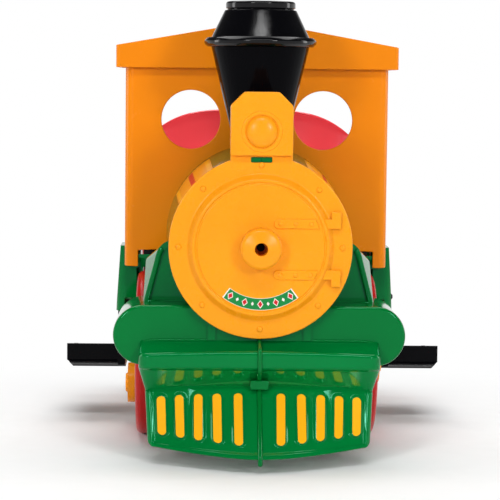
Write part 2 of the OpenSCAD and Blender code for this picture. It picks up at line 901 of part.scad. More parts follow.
// Cab wall: a front wall with two round windows, round corners, short cheeks and two legs
module cab_wall() {
    x = cab_w / 2;
    r = wall_corner_r;
    y1 = cab_y + cheek_l;
    low = leg_z - cut;
    high = eave_z + eave_h + gable_h;
    color(deep_orange) difference() {
        intersection() {
            translate([0, 0, leg_z]) linear_extrude(high - leg_z) difference() {
                rounded([-x, cab_y], [x, y1 + r + cut], r);
                rounded([wall - x, cab_y + wall], [x - wall, y1 + 2 * r], r - wall / 2);
                translate([-x - cut, y1]) square([cab_w + 2 * cut, 2 * r]);
            }
            front_shape(cab_y - cut, y1 + cut) gable_under(-wall - 2 * fit, low);
        }
        both_sides() translate([window_x, cab_y - cut, window_z]) rotate([-90, 0, 0])
            cylinder(r = window_r, h = wall + 2 * cut);
        front_shape(cab_y - cut, y1 + cut) polygon([[leg_w - x, low], [x - leg_w, low],
            [x - leg_w, wall_edge_z], [0, wall_edge_z + wall_edge_rise], [leg_w - x, wall_edge_z]]);
        block([-x - cut, tower_y0 - fit, low], [x + cut, y1 + cut, tower_z + fit]);
    }
}

// Cab roof: a gabled shell open below
module cab_roof() {
    x = roof_w / 2;
    y0 = cab_y - roof_in;
    y1 = y0 + roof_l;
    z = eave_z + eave_h;
    h = gable_h;
    r = roof_round;
    color(deep_orange) difference() {
        intersection() {
            front_shape(y0, y1) polygon([[-x, eave_z], [x, eave_z], [x, z], [0, z + h], [-x, z]]);
            translate([0, 0, eave_z]) linear_extrude(eave_h + h) rounded([-x, y0], [x, y1], r);
        }
        front_shape(y0 + wall, y1 - wall) polygon([[wall - x, eave_z - cut], [x - wall, eave_z - cut],
            [x - wall, z + h * wall / x - wall], [0, z + h - wall], [wall - x, z + h * wall / x - wall]]);
    }
}

// Tower side of the cab base seen from the front, drawn in by a gap
module tower_side(inset) {
    x = tower_w_top / 2 - inset;
    w = tower_w_foot / 2 - inset;
    z0 = tower_foot_z - (inset > 0 ? cut : 0);
    z1 = tower_z - inset;
    polygon([[tower_x0, z0], [w, z0], [x, z1], [tower_x0, z1]]);
}

// Cab base: two hollow side towers joined by a floor on a pillar that stands on the spine frame
module cab_base() {
    y0 = tower_y0;
    y1 = tower_y1;
    r = tower_corner_r;
    w = tower_w_foot / 2;
    x = frame_w / 2;
    color(green) difference() {
        union() {
            both_sides() difference() {
                intersection() {
                    front_shape(y0, y1) tower_side(0);
                    translate([0, 0, tower_foot_z]) linear_extrude(tower_z - tower_foot_z)
                        rounded([-w, y0], [w, y1], r);
                }
                intersection() {
                    front_shape(y0 + wall, y1 - wall) tower_side(wall);
                    translate([0, 0, tower_foot_z - cut]) linear_extrude(tower_z - tower_foot_z)
                        rounded([wall - w, y0 + wall], [w - wall, y1 - wall], r - wall);
                }
            }
            both_sides() block([skirt_x, y0 + wall, tower_foot_z],
                [w - wall - tower_lip, y1 - wall, tower_foot_z + tower_pad_h]);
            block([-tower_x0 - wall, cab_y + wall + fit, floor_z], [tower_x0 + wall, y1, floor_top]);
            block([-pillar_w / 2, y0, deck_z], [pillar_w / 2, y1, floor_z + cut]);
        }
        block([wall - pillar_w / 2, y0 + wall, deck_z - cut],
            [pillar_w / 2 - wall, y1 - wall, floor_z - wall]);
        wheel_arches(front_axle_y);
        both_sides() {
            across(x, front_axle_y, axle_z) cylinder(r = rod_sweep_r, h = skirt_x - x);
            block([x, y0 - cut, frame_z0], [skirt_x, y1 + cut, rod_clear_z]);
            step_stud_place() cylinder(r = stud_r + run_fit, h = stud_l + cut);
        }
        across(power_x - power_l - power_out, y0 + power_in, power_z)
            cylinder(r = power_r + fit, h = 2 * power_l);
    }
}

// Console: a moulded box behind the cab wall with a boss for the handle and two button wells
module console() {
    y0 = cab_y + wall + fit;
    y1 = y0 + console_l;
    bar_y = y0 + bar_y_in;
    well = console_top_z - button_well;
    color(black) difference() {
        union() {
            side_shape(-console_hw, console_hw) polygon([[y0, floor_top], [y1, floor_top],
                [y1, console_rear_z], [y0 + console_flat, console_top_z], [y0, console_top_z]]);
            side_shape(-handle_boss_w / 2, handle_boss_w / 2) {
                translate([bar_y, bar_z]) circle(handle_boss_r);
                polygon([[y0 + console_flat, bar_z + handle_boss_r - button_edge],
                    [bar_y, bar_z + handle_boss_r], [bar_y, bar_z - handle_boss_r],
                    [y1 - console_edge_r, floor_top + handle_boss_r]]);
            }
        }
        across(-handle_boss_w, bar_y, bar_z) cylinder(r = grip_r + run_fit, h = 2 * handle_boss_w);
        both_sides() translate([button_x, y0 + console_flat / 2, well])
            cylinder(r = button_r + fit, h = button_well + cut);
    }
}

// Handle bar: one round bar through the boss with ribbed grips and round ends
module handle_bar() {
    y = cab_y + wall + fit + bar_y_in;
    x0 = handle_boss_w / 2 + fit;
    color(black) {
        across(-grip_l, y, bar_z) cylinder(r = grip_r, h = 2 * grip_l);
        both_sides() {
            translate([grip_l, y, bar_z]) sphere(grip_r);
            for (i = [0:grip_ring_n - 1])
                across(x0 + i * (grip_l - x0) / grip_ring_n, y, bar_z)
                    cylinder(r = grip_r + grip_ring, h = (grip_l - x0) / (2 * grip_ring_n));
        }
    }
}

// A round push button with a bevelled edge
module button(side) {
    h = button_rise + button_depth;
    e = button_edge;
    translate([side * button_x, cab_y + wall + fit + console_flat / 2, console_top_z - button_depth])
        rotate_extrude() polygon([[0, 0], [button_r, 0], [button_r, h - e], [button_r - e, h], [0, h]]);
}

// Button that makes the train go
module drive_button() {
    color(red) button(1);
}

// Button that sounds the horn
module horn_button() {
    color(yellow) button(-1);
}

// Power button in the right tower's side
module power_button() {
    color(black) across(power_x - power_l, tower_y0 + power_in, power_z)
        rotate_extrude() polygon([[0, 0], [power_r, 0], [power_r, power_l + power_out - power_r / 2],
            [power_r / 2, power_l + power_out], [0, power_l + power_out]]);
}

// Tender body: an open bin on the frame with a floor that covers the rear wheels, skirts and a tail panel
module tender_body() {
    x = frame_w / 2;
    w = tender_hw;
    y0 = tender_y0;
    y1 = tail_y;
    r = tender_corner_r;
    color(green) difference() {
        union() {
            block([-x, y0, deck_z], [x, y1 - wall, floor_z + cut]);
            intersection() {
                difference() {
                    translate([0, 0, tail_panel_z]) linear_extrude(floor_top - tail_panel_z)
                        rounded([-w, y0], [w, y1], r);
                    translate([0, 0, tail_panel_z - cut]) linear_extrude(floor_z - tail_panel_z + cut)
                        rounded([wall - w, y0 + wall], [w - wall, y1 - wall], r - wall);
                }
                union() {
                    block([-w, y0, floor_z - skirt_drop], [w, y1, floor_top]);
                    block([-w, y1 - r, tail_panel_z], [w, y1, floor_top]);
                }
            }
            for (side = [-1, 1], end = [-1, 1]) hinge_lug(side, end);
        }
        block([wall - x, y0 + wall, deck_z + wall], [x - wall, bin_y1, floor_top + cut]);
        block([wall - x, bin_y1 + wall, deck_z - cut], [x - wall, y1 - 2 * wall, floor_z - wall]);
        across(-w, hinge_y, hinge_z) cylinder(r = hinge_r + run_fit, h = 2 * w);
        wheel_arches(rear_axle_y);
        block([-x - fit, frame_y1 - cut, frame_z0], [x + fit, frame_y1 + fit, deck_z + fit]);
    }
}

// One of the two lugs on each side of a seat hinge
module hinge_lug(side, end) {
    middle = side * hinge_x + end * (hinge_w / 2 + fit + hinge_lug_w / 2);
    side_shape(middle - hinge_lug_w / 2, middle + hinge_lug_w / 2) {
        translate([hinge_y, hinge_z]) circle(hinge_eye_r);
        translate([hinge_y - hinge_eye_r, floor_z]) square([2 * hinge_eye_r, hinge_z - floor_z]);
    }
}

// Seat surface: t is 0 at the front lip's foot and 1 at the top of the back, u runs across from -1 to 1
function seat_path(t) = let (
    lip_h = seat_pan_z - seat_lip_z,
    back_h = seat_top_z - seat_pan_z,
    s = t * (lip_h + seat_l + back_h),
    up = s - lip_h - seat_l)
    s < lip_h ? [seat_y0, seat_lip_z + s]
    : up < 0 ? [seat_y0 + s - lip_h, seat_pan_z]
    : [seat_y1 + seat_lean * up / back_h, seat_pan_z + up];
function seat_round(t) = let (d = seat_bend_share)
    (seat_path(max(0, t - d)) + 2 * seat_path(t) + seat_path(min(1, t + d))) / 4;
function back_amount(t) = smooth_step(seat_back_shares[0], seat_back_shares[1], t);
function pan_amount(t) = smooth_step(seat_pan_shares[0], seat_pan_shares[1], t) * (1 - back_amount(t));
function rim_amount(u, t) = max(smooth_step(seat_rim_share, 1, abs(u)), smooth_step(seat_top_share, 1, t));
function seat_point(u, t, thick) = let (
    p = seat_round(t),
    q = seat_round(min(1, t + seat_probe_share)) - seat_round(max(0, t - seat_probe_share)),
    n = [-q[1], q[0]] / norm(q),
    wing = pow(abs(u), seat_wing_power),
    rim = rim_amount(u, t) * seat_rim_h,
    drop = seat_crown * pow(abs(u), seat_crown_power) * max(0, t - seat_crown_share) / (1 - seat_crown_share),
    rise = (wing * seat_side_rise + rim) * pan_amount(t),
    pull = (wing * seat_bolster + rim) * back_amount(t))
    [u * seat_w / 2, p[0] - pull - n[0] * thick, p[1] + rise - drop - n[1] * thick];

// Seat: one curved shell from the front lip over the pan to the top of the back
module seat() {
    color(red) section_skin([for (i = [0:seat_columns]) let (u = 2 * i / seat_columns - 1)
        concat([for (j = [0:seat_steps]) seat_point(u, j / seat_steps, 0)],
            [for (j = [seat_steps:-1:0]) seat_point(u, j / seat_steps, seat_t)])]);
}

// Hinge brackets under the seat, each a strap with an eye
module seat_brackets() {
    z1 = seat_pan_z - seat_t - fit;
    color(black) both_sides() difference() {
        side_shape(hinge_x - hinge_w / 2, hinge_x + hinge_w / 2) {
            translate([hinge_y, hinge_z]) circle(hinge_eye_r);
            translate([seat_y1 - bracket_l, floor_top + fit])
                square([hinge_y - seat_y1 + bracket_l, z1 - floor_top - fit]);
        }
        across(hinge_x - hinge_w, hinge_y, hinge_z) cylinder(r = hinge_r + run_fit, h = 2 * hinge_w);
    }
}

// Pins of the seat's two hinges
module seat_hinge_pins() {
    l = hinge_w / 2 + fit + hinge_lug_w;
    color(steel) both_sides() across(hinge_x - l, hinge_y, hinge_z) cylinder(r = hinge_r, h = 2 * l);
}

// Foot-rest: a ribbed tread with a raised outer lip and a toe guard in front, hung from two posts
module footrest() {
    y0 = nose_y + step_in;
    y1 = y0 + step_l;
    x1 = step_span / 2;
    x0 = skirt_x;
    z0 = step_z - step_t;
    top = step_z - step_lip;
    c = step_chamfer;
    difference() {
        union() {
            intersection() {
                union() {
                    front_shape(y0, y1) polygon([[x0, z0], [x1 - c, z0], [x1, z0 + c], [x1, step_z],
                        [x1 - step_lip_w, step_z], [x1 - step_lip_w, top], [x0, top]]);
                    block([x0, y0, top - cut], [x1, y0 + guard_in + guard_t, top + guard_h]);
                }
                side_shape(x0, x1) polygon([[y0, z0], [y1, z0], [y1, step_z],
                    [y0 + guard_in + guard_t, step_z], [y0 + guard_in + guard_t, top + guard_h],
                    [y0 + guard_in, top + guard_h], [y0 + guard_in, top], [y0, top - guard_in]]);
            }
            for (i = [1:tread_n]) {
                y = y0 + i * step_l / (tread_n + 1);
                block([x0 + step_post_t + tread_w, y - tread_w / 2, top - cut],
                    [x1 - step_lip_w - tread_w, y + tread_w / 2, top + tread_h]);
            }
            block([x0, y0, z0], [x0 + step_post_t, y0 + step_post_l, step_z]);
            block([x0, tower_y1 - step_post_l, z0 + post_up], [x0 + step_post_t, y0 + step_post_l, step_z]);
            block([x0, tower_y1 - step_post_l, z0 + post_up], [x0 + step_post_t, tower_y1, tower_foot_z]);
            block([x0, y1 - step_post_l, z0], [x0 + step_post_t, y1, floor_z - skirt_drop]);
        }
        step_stud_place() cylinder(r = stud_r + run_fit, h = stud_l);
    }
}

// Place of the stud that joins a foot-rest's front post to the cab base, from inside the post up
stud_l = stud_in + tower_pad_h;
module step_stud_place() {
    translate([skirt_x + step_post_t / 2, tower_y1 - step_post_l / 2, tower_foot_z - stud_in]) children();
}

// Left foot-rest
module footrest_left() {
    color(black) mirror([1, 0, 0]) footrest();
}

// Right foot-rest
module footrest_right() {
    color(black) footrest();
}

// Studs that pin the foot-rests' front posts to the cab base
module footrest_studs() {
    color(steel) both_sides() step_stud_place() cylinder(r = stud_r, h = stud_l - fit);
}

// A steel axle that stands still while the wheels turn on it
module axle(y) {
    l = wheel_x1 - web_in + cap_t - cap_floor;
    color(steel) across(-l, y, axle_z) cylinder(r = axle_r, h = 2 * l);
}

// Front axle
module front_axle() {
    axle(front_axle_y);
}

// Rear axle
module rear_axle() {
    axle(rear_axle_y);
}

// A flanged bush that carries the axle in the frame's wall and spaces the wheel
module bush(side, y) {
    x1 = frame_w / 2;
    on_side(side) across(x1 - wall, y, axle_z) difference() {
        union() {
            cylinder(r = bush_r, h = wall + fit);
            translate([0, 0, wall + fit]) cylinder(r = bush_flange_r, h = wheel_x0 - x1 - 2 * fit);
        }
        translate([0, 0, -cut]) cylinder(r = axle_r + run_fit, h = wheel_gap + wall + 2 * cut);
    }
}

// Bushes of both axles; the gearbox carries the rear axle's right side
module axle_bushes() {
    color(nylon) {
        bush(-1, front_axle_y);
        bush(1, front_axle_y);
        bush(-1, rear_axle_y);
    }
}

// Push caps that keep the wheels on the axles
module axle_caps() {
    color(black) both_sides() for (y = [front_axle_y, rear_axle_y])
        across(wheel_x1 - web_in + fit, y, axle_z) difference() {
            cylinder(r = cap_r, h = cap_t);
            translate([0, 0, -cut]) cylinder(r = axle_r + run_fit, h = cap_t - cap_floor + cut);
        }
}

// A spoked wheel about its own axis, inner side down, with its crank boss at an angle
module wheel(angle) {
    r = wheel_d / 2;
    e = tread_r;
    web_z = wheel_w - web_in - web_t;
    inner_r = r - rim_t;
    difference() {
        union() {
            rotate_extrude() translate([inner_r, 0]) intersection() {
                rounded([-rim_t, 0], [rim_t, wheel_w], e);
                square([rim_t, wheel_w]);
            }
            translate([0, 0, web_z]) linear_extrude(web_t) difference() {
                circle(inner_r + cut);
                difference() {
                    circle(inner_r - web_in);
                    circle(hub_r + web_in);
                    for (i = [0:spoke_n - 1]) rotate(angle + i * 360 / spoke_n)
                        translate([0, -spoke_w / 2]) square([r, spoke_w]);
                }
            }
            cylinder(r = hub_r, h = wheel_w - web_in);
            rotate(angle) translate([crank_r, 0, wheel_w - boss_depth]) cylinder(r = boss_r, h = boss_depth);
        }
        translate([0, 0, -cut]) cylinder(r = axle_r + run_fit, h = wheel_w + 2 * cut);
        translate([0, 0, -cut]) cylinder(r = socket_r, h = socket_depth + cut);
        for (i = [0:dog_n - 1]) rotate(i * 360 / dog_n) translate([0, -dog_w / 2, -cut])
            cube([socket_r + dog_h, dog_w, socket_depth + cut]);
        rotate(angle) translate([crank_r, 0, wheel_w - boss_depth + wall])
            cylinder(r = pin_r + run_fit, h = boss_depth);
    }
}

// A wheel in its place: side is 1 for right and -1 for left
module placed_wheel(side, y, angle) {
    color(red) on_side(side) across(wheel_x0, y, axle_z) wheel(angle);
}

// Front left wheel
module wheel_front_left() {
    placed_wheel(-1, front_axle_y, crank_left);
}

// Front right wheel
module wheel_front_right() {
    placed_wheel(1, front_axle_y, crank_right);
}

// Rear left wheel
module wheel_rear_left() {
    placed_wheel(-1, rear_axle_y, crank_left);
}

// Rear right wheel, the driven one
module wheel_rear_right() {
    placed_wheel(1, rear_axle_y, crank_right);
}

// A crank pin with a cap outside the rod
module crank_pin(side, y, angle) {
    foot = boss_depth - wall - fit;
    l = foot + rod_gap + rod_t + fit;
    color(orange) on_side(side) translate([0, crank_r * cos(angle), crank_r * sin(angle)])
        across(wheel_x1 - foot, y, axle_z) {
            cylinder(r = pin_r, h = l);
            translate([0, 0, l]) rotate_extrude() polygon([[0, 0], [pin_cap_r, 0], [pin_cap_r, pin_cap_t / 2],
                [pin_cap_r - pin_cap_t / 2, pin_cap_t], [0, pin_cap_t]]);
        }
}

// Crank pin of the front left wheel
module pin_front_left() {
    crank_pin(-1, front_axle_y, crank_left);
}

// Crank pin of the front right wheel
module pin_front_right() {
    crank_pin(1, front_axle_y, crank_right);
}

// Crank pin of the rear left wheel
module pin_rear_left() {
    crank_pin(-1, rear_axle_y, crank_left);
}

// Crank pin of the rear right wheel
module pin_rear_right() {
    crank_pin(1, rear_axle_y, crank_right);
}

// A fluted coupling rod with an eye round each crank pin
module rod(side, angle) {
    y = front_axle_y + crank_r * cos(angle);
    z = axle_z + crank_r * sin(angle);
    h = rod_web_h / 2;
    flute_in = rod_eye_r + rod_flute_rim;
    flute_h = h - rod_flute_rim;
    color(orange) on_side(side) difference() {
        side_shape(rod_x0, rod_x1) translate([y, z]) difference() {
            union() {
                translate([0, -h]) square([wheelbase, rod_web_h]);
                for (end = [0, wheelbase]) translate([end, 0]) circle(rod_eye_r);
            }
            for (end = [0, wheelbase]) translate([end, 0]) circle(pin_r + fit);
        }
        side_shape(rod_x1 - rod_flute, rod_x1 + cut) translate([y, z])
            rounded([flute_in, -flute_h], [wheelbase - flute_in, flute_h], flute_h / 2);
    }
}

// Left coupling rod
module rod_left() {
    rod(-1, crank_left);
}

// Right coupling rod
module rod_right() {
    rod(1, crank_right);
}

// Involute gear outline about its middle, with a tooth on the +X side
function inv_deg(a) = tan(a) * 180 / PI - a;
function flank(n, m, r) = let (pr = n * m / 2, base = pr * cos(pressure))
    90 / n - backlash / pr * 90 / PI + inv_deg(pressure) - (r > base ? inv_deg(acos(base / r)) : 0);
function gear_points(n, m) = let (
    pr = n * m / 2,
    tip = pr + addendum_share * m,
    root = pr - dedendum_share * m,
    rise = [for (i = [0:3]) root + (tip - root) * i / 3],
    fall = [for (i = [3:-1:0]) rise[i]])
    [for (k = [0:n - 1]) let (a = k * 360 / n) each concat(
        [for (r = rise) let (t = a - flank(n, m, r)) r * [cos(t), sin(t)]],
        [for (r = fall) let (t = a + flank(n, m, r)) r * [cos(t), sin(t)]])];

// Output gear with a sleeve and dogs that turn the rear right wheel
module output_gear() {
    l = wheel_x0 + socket_depth - fit - gear_x0;
    color(nylon) across(gear_x0, rear_axle_y, axle_z) difference() {
        union() {
            linear_extrude(gear_w) rotate(180) polygon(gear_points(output_n, output_m));
            cylinder(r = sleeve_r, h = l);
            for (i = [0:dog_n - 1]) rotate(i * 360 / dog_n)
                translate([0, fit - dog_w / 2, l - socket_depth + 2 * fit])
                    cube([socket_r + dog_h - fit, dog_w - 2 * fit, socket_depth - 2 * fit]);
        }
        translate([0, 0, -cut]) cylinder(r = axle_r + run_fit, h = l + 2 * cut);
    }
}

// Idler: a large gear for the motor and a pinion for the output gear, moulded in one
module idler_gear() {
    color(nylon) difference() {
        union() {
            across(idler_x0, idler_y, axle_z) linear_extrude(idler_w)
                rotate(180) polygon(gear_points(idler_n, motor_m));
            across(idler_x1 - cut, idler_y, axle_z) linear_extrude(gear_x1 - idler_x1 + cut)
                rotate(180 / pinion_n) polygon(gear_points(pinion_n, output_m));
        }
        across(idler_x0 - cut, idler_y, axle_z) cylinder(r = idler_shaft_r + run_fit, h = case_x1 - case_x0);
    }
}

// Fixed shaft that the idler turns on
module idler_shaft() {
    color(steel) across(case_x0, idler_y, axle_z) cylinder(r = idler_shaft_r, h = case_x1 - case_x0);
}

// Motor pinion on the motor's shaft
module motor_pinion() {
    color(steel) {
        across(idler_x0, motor_y, axle_z) linear_extrude(idler_w)
            rotate(180 / pinion_n) polygon(gear_points(pinion_n, motor_m));
        across(case_x0 - motor_shaft_in, motor_y, axle_z)
            cylinder(r = motor_shaft_r, h = idler_x1 - case_x0 + motor_shaft_in);
    }
}

// Motor: a can with a front boss in the gearbox's wall
module motor() {
    color(steel) across(case_x0 - fit - motor_l, motor_y, axle_z) difference() {
        union() {
            cylinder(r = motor_r, h = motor_l);
            translate([0, 0, motor_l]) cylinder(r = motor_boss_r, h = case_wall + fit);
        }
        translate([0, 0, motor_l - motor_shaft_in]) cylinder(r = motor_shaft_r + run_fit, h = motor_l);
    }
}

// Gearbox outline in (y, z), drawn in by a wall
module case_outline(inset) {
    h = case_h - inset;
    rounded([case_y0 + inset, axle_z - h], [case_y1 - inset, axle_z + h], case_round - inset / 2);
}

// Screw places at the gearbox's corners, about the gearbox's own axis
module case_screw_places() {
    for (y = [case_y0 + case_screw_in, case_y1 - case_screw_in], side = [-1, 1])
        across(case_x0, y, axle_z + side * (case_h - case_screw_in)) children();
}

// Inner half of the gearbox, which carries the motor
module gearbox_inner() {
    color(black) difference() {
        union() {
            difference() {
                side_shape(case_x0, case_mid_x) case_outline(0);
                side_shape(case_x0 + case_wall, case_mid_x + cut) case_outline(case_wall);
            }
            intersection() {
                case_screw_places() cylinder(r = case_screw_in, h = case_mid_x - case_x0);
                side_shape(case_x0, case_mid_x) case_outline(0);
            }
        }
        across(case_x0 - cut, rear_axle_y, axle_z) cylinder(r = axle_r + run_fit, h = case_wall + 2 * cut);
        across(case_x0 - cut, idler_y, axle_z) cylinder(r = idler_shaft_r + run_fit, h = case_wall + 2 * cut);
        across(case_x0 - cut, motor_y, axle_z) cylinder(r = motor_boss_r + run_fit, h = case_wall + 2 * cut);
        case_gears();
        case_screw_places() translate([0, 0, -cut])
            cylinder(r = case_screw_r + run_fit, h = case_x1 - case_x0);
    }
}

// Room for the gears where the screw posts come close to them
module case_gears() {
    x = case_x0 + case_wall;
    l = case_x1 - case_x0 - 2 * case_wall;
    across(x, rear_axle_y, axle_z) cylinder(r = output_tip + case_gap, h = l);
    across(x, idler_y, axle_z) cylinder(r = idler_pr + motor_m + case_gap, h = l);
    across(x, motor_y, axle_z) cylinder(r = motor_tip + case_gap, h = l);
}

// Outer half of the gearbox, with a collar that seats on the frame's wall
module gearbox_outer() {
    color(black) difference() {
        union() {
            difference() {
                side_shape(case_mid_x, case_x1) case_outline(0);
                side_shape(case_mid_x - cut, case_x1 - case_wall) case_outline(case_wall);
            }
            intersection() {
                case_screw_places() cylinder(r = case_screw_in, h = case_x1 - case_x0);
                side_shape(case_mid_x, case_x1) case_outline(0);
            }
            across(case_x1 - case_wall, rear_axle_y, axle_z)
                cylinder(r = case_collar_r, h = case_in + case_wall - fit);
        }
        across(case_x1 - case_wall - cut, rear_axle_y, axle_z)
            cylinder(r = sleeve_r + fit, h = case_in + case_wall + cut);
        across(case_x1 - case_wall - cut, idler_y, axle_z)
            cylinder(r = idler_shaft_r + run_fit, h = case_wall + 2 * cut);
        case_gears();
        case_screw_places() translate([0, 0, case_mid_x - case_x0 - cut])
            cylinder(r = case_screw_r + run_fit, h = case_x1 - case_mid_x);
    }
}

// Screws that close the gearbox from its inner side
module gearbox_screws() {
    color(steel) case_screw_places() {
        translate([0, 0, -case_screw_head_t]) cylinder(r = case_screw_head_r, h = case_screw_head_t);
        cylinder(r = case_screw_r, h = case_x1 - case_x0 - case_wall - cut);
    }
}

// Battery on the bin's floor at the back
module battery() {
    y1 = bin_y1 - fit;
    y0 = y1 - battery_l;
    z0 = deck_z + wall;
    x = battery_w / 2;
    e = battery_edge_r;
    color(battery_grey) {
        translate([0, 0, z0]) linear_extrude(battery_h) rounded([-x, y0], [x, y1], e);
        translate([0, 0, z0 + battery_h]) linear_extrude(battery_lid)
            rounded([e - x, y0 + e], [x - e, y1 - e], e);
    }
}

spine_frame();
cylinder_saddle();
pilot();
pilot_stripes();
boiler_left();
boiler_right();
smokebox_front();
smokebox_screw();
smokestack_funnel();
smokestack_cap();
cab_wall();
cab_roof();
cab_base();
console();
handle_bar();
drive_button();
horn_button();
power_button();
tender_body();
seat();
seat_brackets();
seat_hinge_pins();
footrest_left();
footrest_right();
footrest_studs();
front_axle();
rear_axle();
axle_bushes();
axle_caps();
wheel_front_left();
wheel_front_right();
wheel_rear_left();
wheel_rear_right();
pin_front_left();
pin_front_right();
pin_rear_left();
pin_rear_right();
rod_left();
rod_right();
gearbox_inner();
gearbox_outer();
gearbox_screws();
output_gear();
idler_gear();
idler_shaft();
motor();
motor_pinion();
battery();
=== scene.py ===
"""Looks of the ride-on train: moulded plastic finishes, lofted pilot and seat, decals and small fittings.

The train faces -Y, +X is to the right in a front view and +Z is up. Sizes are in millimetres and go into the
meshes through MM; the stage, lamps and camera are in metres. Each new piece is a surface worked out on a grid
of two parameters.
"""
import json
import math

import bmesh
import bpy
import numpy as np
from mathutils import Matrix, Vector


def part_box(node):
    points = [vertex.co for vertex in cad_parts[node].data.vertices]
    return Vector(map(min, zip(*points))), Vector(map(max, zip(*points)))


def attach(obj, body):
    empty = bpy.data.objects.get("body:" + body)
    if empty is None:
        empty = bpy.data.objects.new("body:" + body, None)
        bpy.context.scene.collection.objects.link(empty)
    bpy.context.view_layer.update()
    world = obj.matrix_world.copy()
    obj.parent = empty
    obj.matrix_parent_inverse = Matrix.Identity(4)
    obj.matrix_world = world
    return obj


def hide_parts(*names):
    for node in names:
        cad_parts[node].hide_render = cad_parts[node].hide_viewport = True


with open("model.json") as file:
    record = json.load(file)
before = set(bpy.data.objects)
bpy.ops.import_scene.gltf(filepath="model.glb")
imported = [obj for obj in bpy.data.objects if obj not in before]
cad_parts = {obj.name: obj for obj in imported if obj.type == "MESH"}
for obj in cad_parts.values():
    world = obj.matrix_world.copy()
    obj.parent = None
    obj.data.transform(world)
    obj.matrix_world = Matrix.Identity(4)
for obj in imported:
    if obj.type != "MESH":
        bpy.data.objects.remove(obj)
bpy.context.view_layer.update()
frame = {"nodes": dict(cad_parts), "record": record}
nodes = frame["nodes"]
MM = 0.001

# Colours as a paint chart would give them, 0 to 255. The grille's green and the seat's red are lighter than
# their plastics: painted light.
GREEN = (0, 109, 42)
# The grille's green is the body's green made lighter: painted light for the light that the grille catches.
GRILLE_GREEN_PAINTED_LIGHT = (0, 116, 50)
ORANGE = (246, 156, 22)
CAB_ORANGE = (238, 134, 6)
WHEEL_RED = (190, 22, 18)
# The seat's red is the wheels' red made lighter and pinker: painted light on the seat's front.
SEAT_RED_PAINTED_LIGHT = (255, 80, 90)
STRIPE_YELLOW = (255, 174, 8)
BLACK = (5, 5, 8)
STEEL = (186, 188, 194)
NYLON = (232, 226, 208)
BATTERY_GREY = (74, 77, 84)
DECAL_GREEN = (16, 132, 62)
DECAL_RED = (206, 32, 38)
DECAL_WHITE = (240, 236, 226)


def corner(node, high=False):
    """A CAD node's low or high corner in millimetres."""
    return np.array(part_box(node)[1 if high else 0]) / MM


# Places taken from the frame
nose_y = corner("pilot")[1]
pilot_back_y = corner("pilot", True)[1]
ledge_hw = corner("pilot", True)[0]
ledge_back_z = corner("pilot", True)[2]
foot_z = corner("pilot")[2]


# Materials
WHITE = (1, 1, 1, 1)
PLASTIC_IOR = 1.5
SCUFF = 0.09
SCUFF_RANGE = (0.45, 0.78)
BAND_FADE = (8.0, 1.0)  # across and in height


def linear(colour):
    """Chart values turned into the light values that a shader takes."""
    c = np.array(colour) / 255.0
    return np.where(c <= 0.04045, c / 12.92, ((c + 0.055) / 1.055) ** 2.4)


def shaded(colour, share=1.0):
    """A chart colour as a shader takes it, times a share and no brighter than full light."""
    return tuple(np.minimum(linear(colour) * share, 1.0)) + (1.0,)


class Shader:
    """A small helper that adds nodes to one material and links them."""

    def __init__(self, name):
        """A material with an empty shader on Object coordinates."""
        self.material = bpy.data.materials.new(name)
        self.material.use_nodes = True
        self.tree = self.material.node_tree
        self.tree.nodes.clear()
        self.body = self.add("ShaderNodeBsdfPrincipled")
        self.out = self.add("ShaderNodeOutputMaterial")
        self.link(self.body.outputs[0], self.out.inputs[0])
        self.place = self.add("ShaderNodeTexCoord").outputs["Object"]

    def add(self, kind, **values):
        """One node with its properties set."""
        node = self.tree.nodes.new(kind)
        for key, value in values.items():
            setattr(node, key, value)
        return node

    def link(self, a, b):
        """A link from one node's output to another's input."""
        self.tree.links.new(a, b)

    def set(self, **values):
        """Constants on the shader's own sockets."""
        for key, value in values.items():
            self.body.inputs[key.replace("_", " ")].default_value = value

    def feed(self, socket, value):
        """A node's output linked to one of the shader's own sockets."""
        self.link(value, self.body.inputs[socket])

    def noise(self, scale, detail=3.0, stretch=(1, 1, 1), rough=0.5):
        """Cloudy noise on Object coordinates, stretched along the axes."""
        mapping = self.add("ShaderNodeMapping")
        mapping.inputs["Scale"].default_value = stretch
        self.link(self.place, mapping.inputs["Vector"])
        noise = self.add("ShaderNodeTexNoise")
        noise.inputs["Scale"].default_value = scale
        noise.inputs["Detail"].default_value = detail
        noise.inputs["Roughness"].default_value = rough
        self.link(mapping.outputs[0], noise.inputs["Vector"])
        return noise.outputs["Fac"]

    def span(self, source, low, high, start=0.3, end=0.7):
        """A value carried from the range start..end to the range low..high."""
        node = self.add("ShaderNodeMapRange")
        for socket, value in zip(node.inputs[1:5], (start, end, low, high)):
            socket.default_value = value
        self.link(source, node.inputs[0])
        return node.outputs[0]

    def times(self, a, b):
        """The product of two values."""
        node = self.add("ShaderNodeMath", operation="MULTIPLY")
        self.link(a, node.inputs[0])
        self.link(b, node.inputs[1])
        return node.outputs[0]

    def between(self, axis, low, high, fade):
        """1 where an Object coordinate lies between two values and 0 elsewhere, with a ramp inside both."""
        split = self.add("ShaderNodeSeparateXYZ")
        self.link(self.place, split.inputs[0])
        return self.times(self.span(split.outputs[axis], 0, 1, low, low + fade),
                          self.span(split.outputs[axis], 1, 0, high - fade, high))

    def mix(self, share, a, b):
        """Two colours mixed by a share."""
        node = self.add("ShaderNodeMix", data_type="RGBA")
        for socket, value in zip([s for s in node.inputs if s.type == "RGBA"], (a, b)):
            socket.default_value = value
        self.link(share, node.inputs[0])
        return [s for s in node.outputs if s.type == "RGBA"][0]

    def paint(self, cloud, a, b):
        """A base colour that runs from one colour to another with a noise."""
        self.feed("Base Color", self.mix(self.span(cloud, 0, 1), a, b))

    def bump(self, height, strength, depth):
        """A bump with a depth in millimetres."""
        node = self.add("ShaderNodeBump")
        node.inputs["Strength"].default_value = strength
        node.inputs["Distance"].default_value = depth * MM
        self.link(height, node.inputs["Height"])
        self.feed("Normal", node.outputs[0])


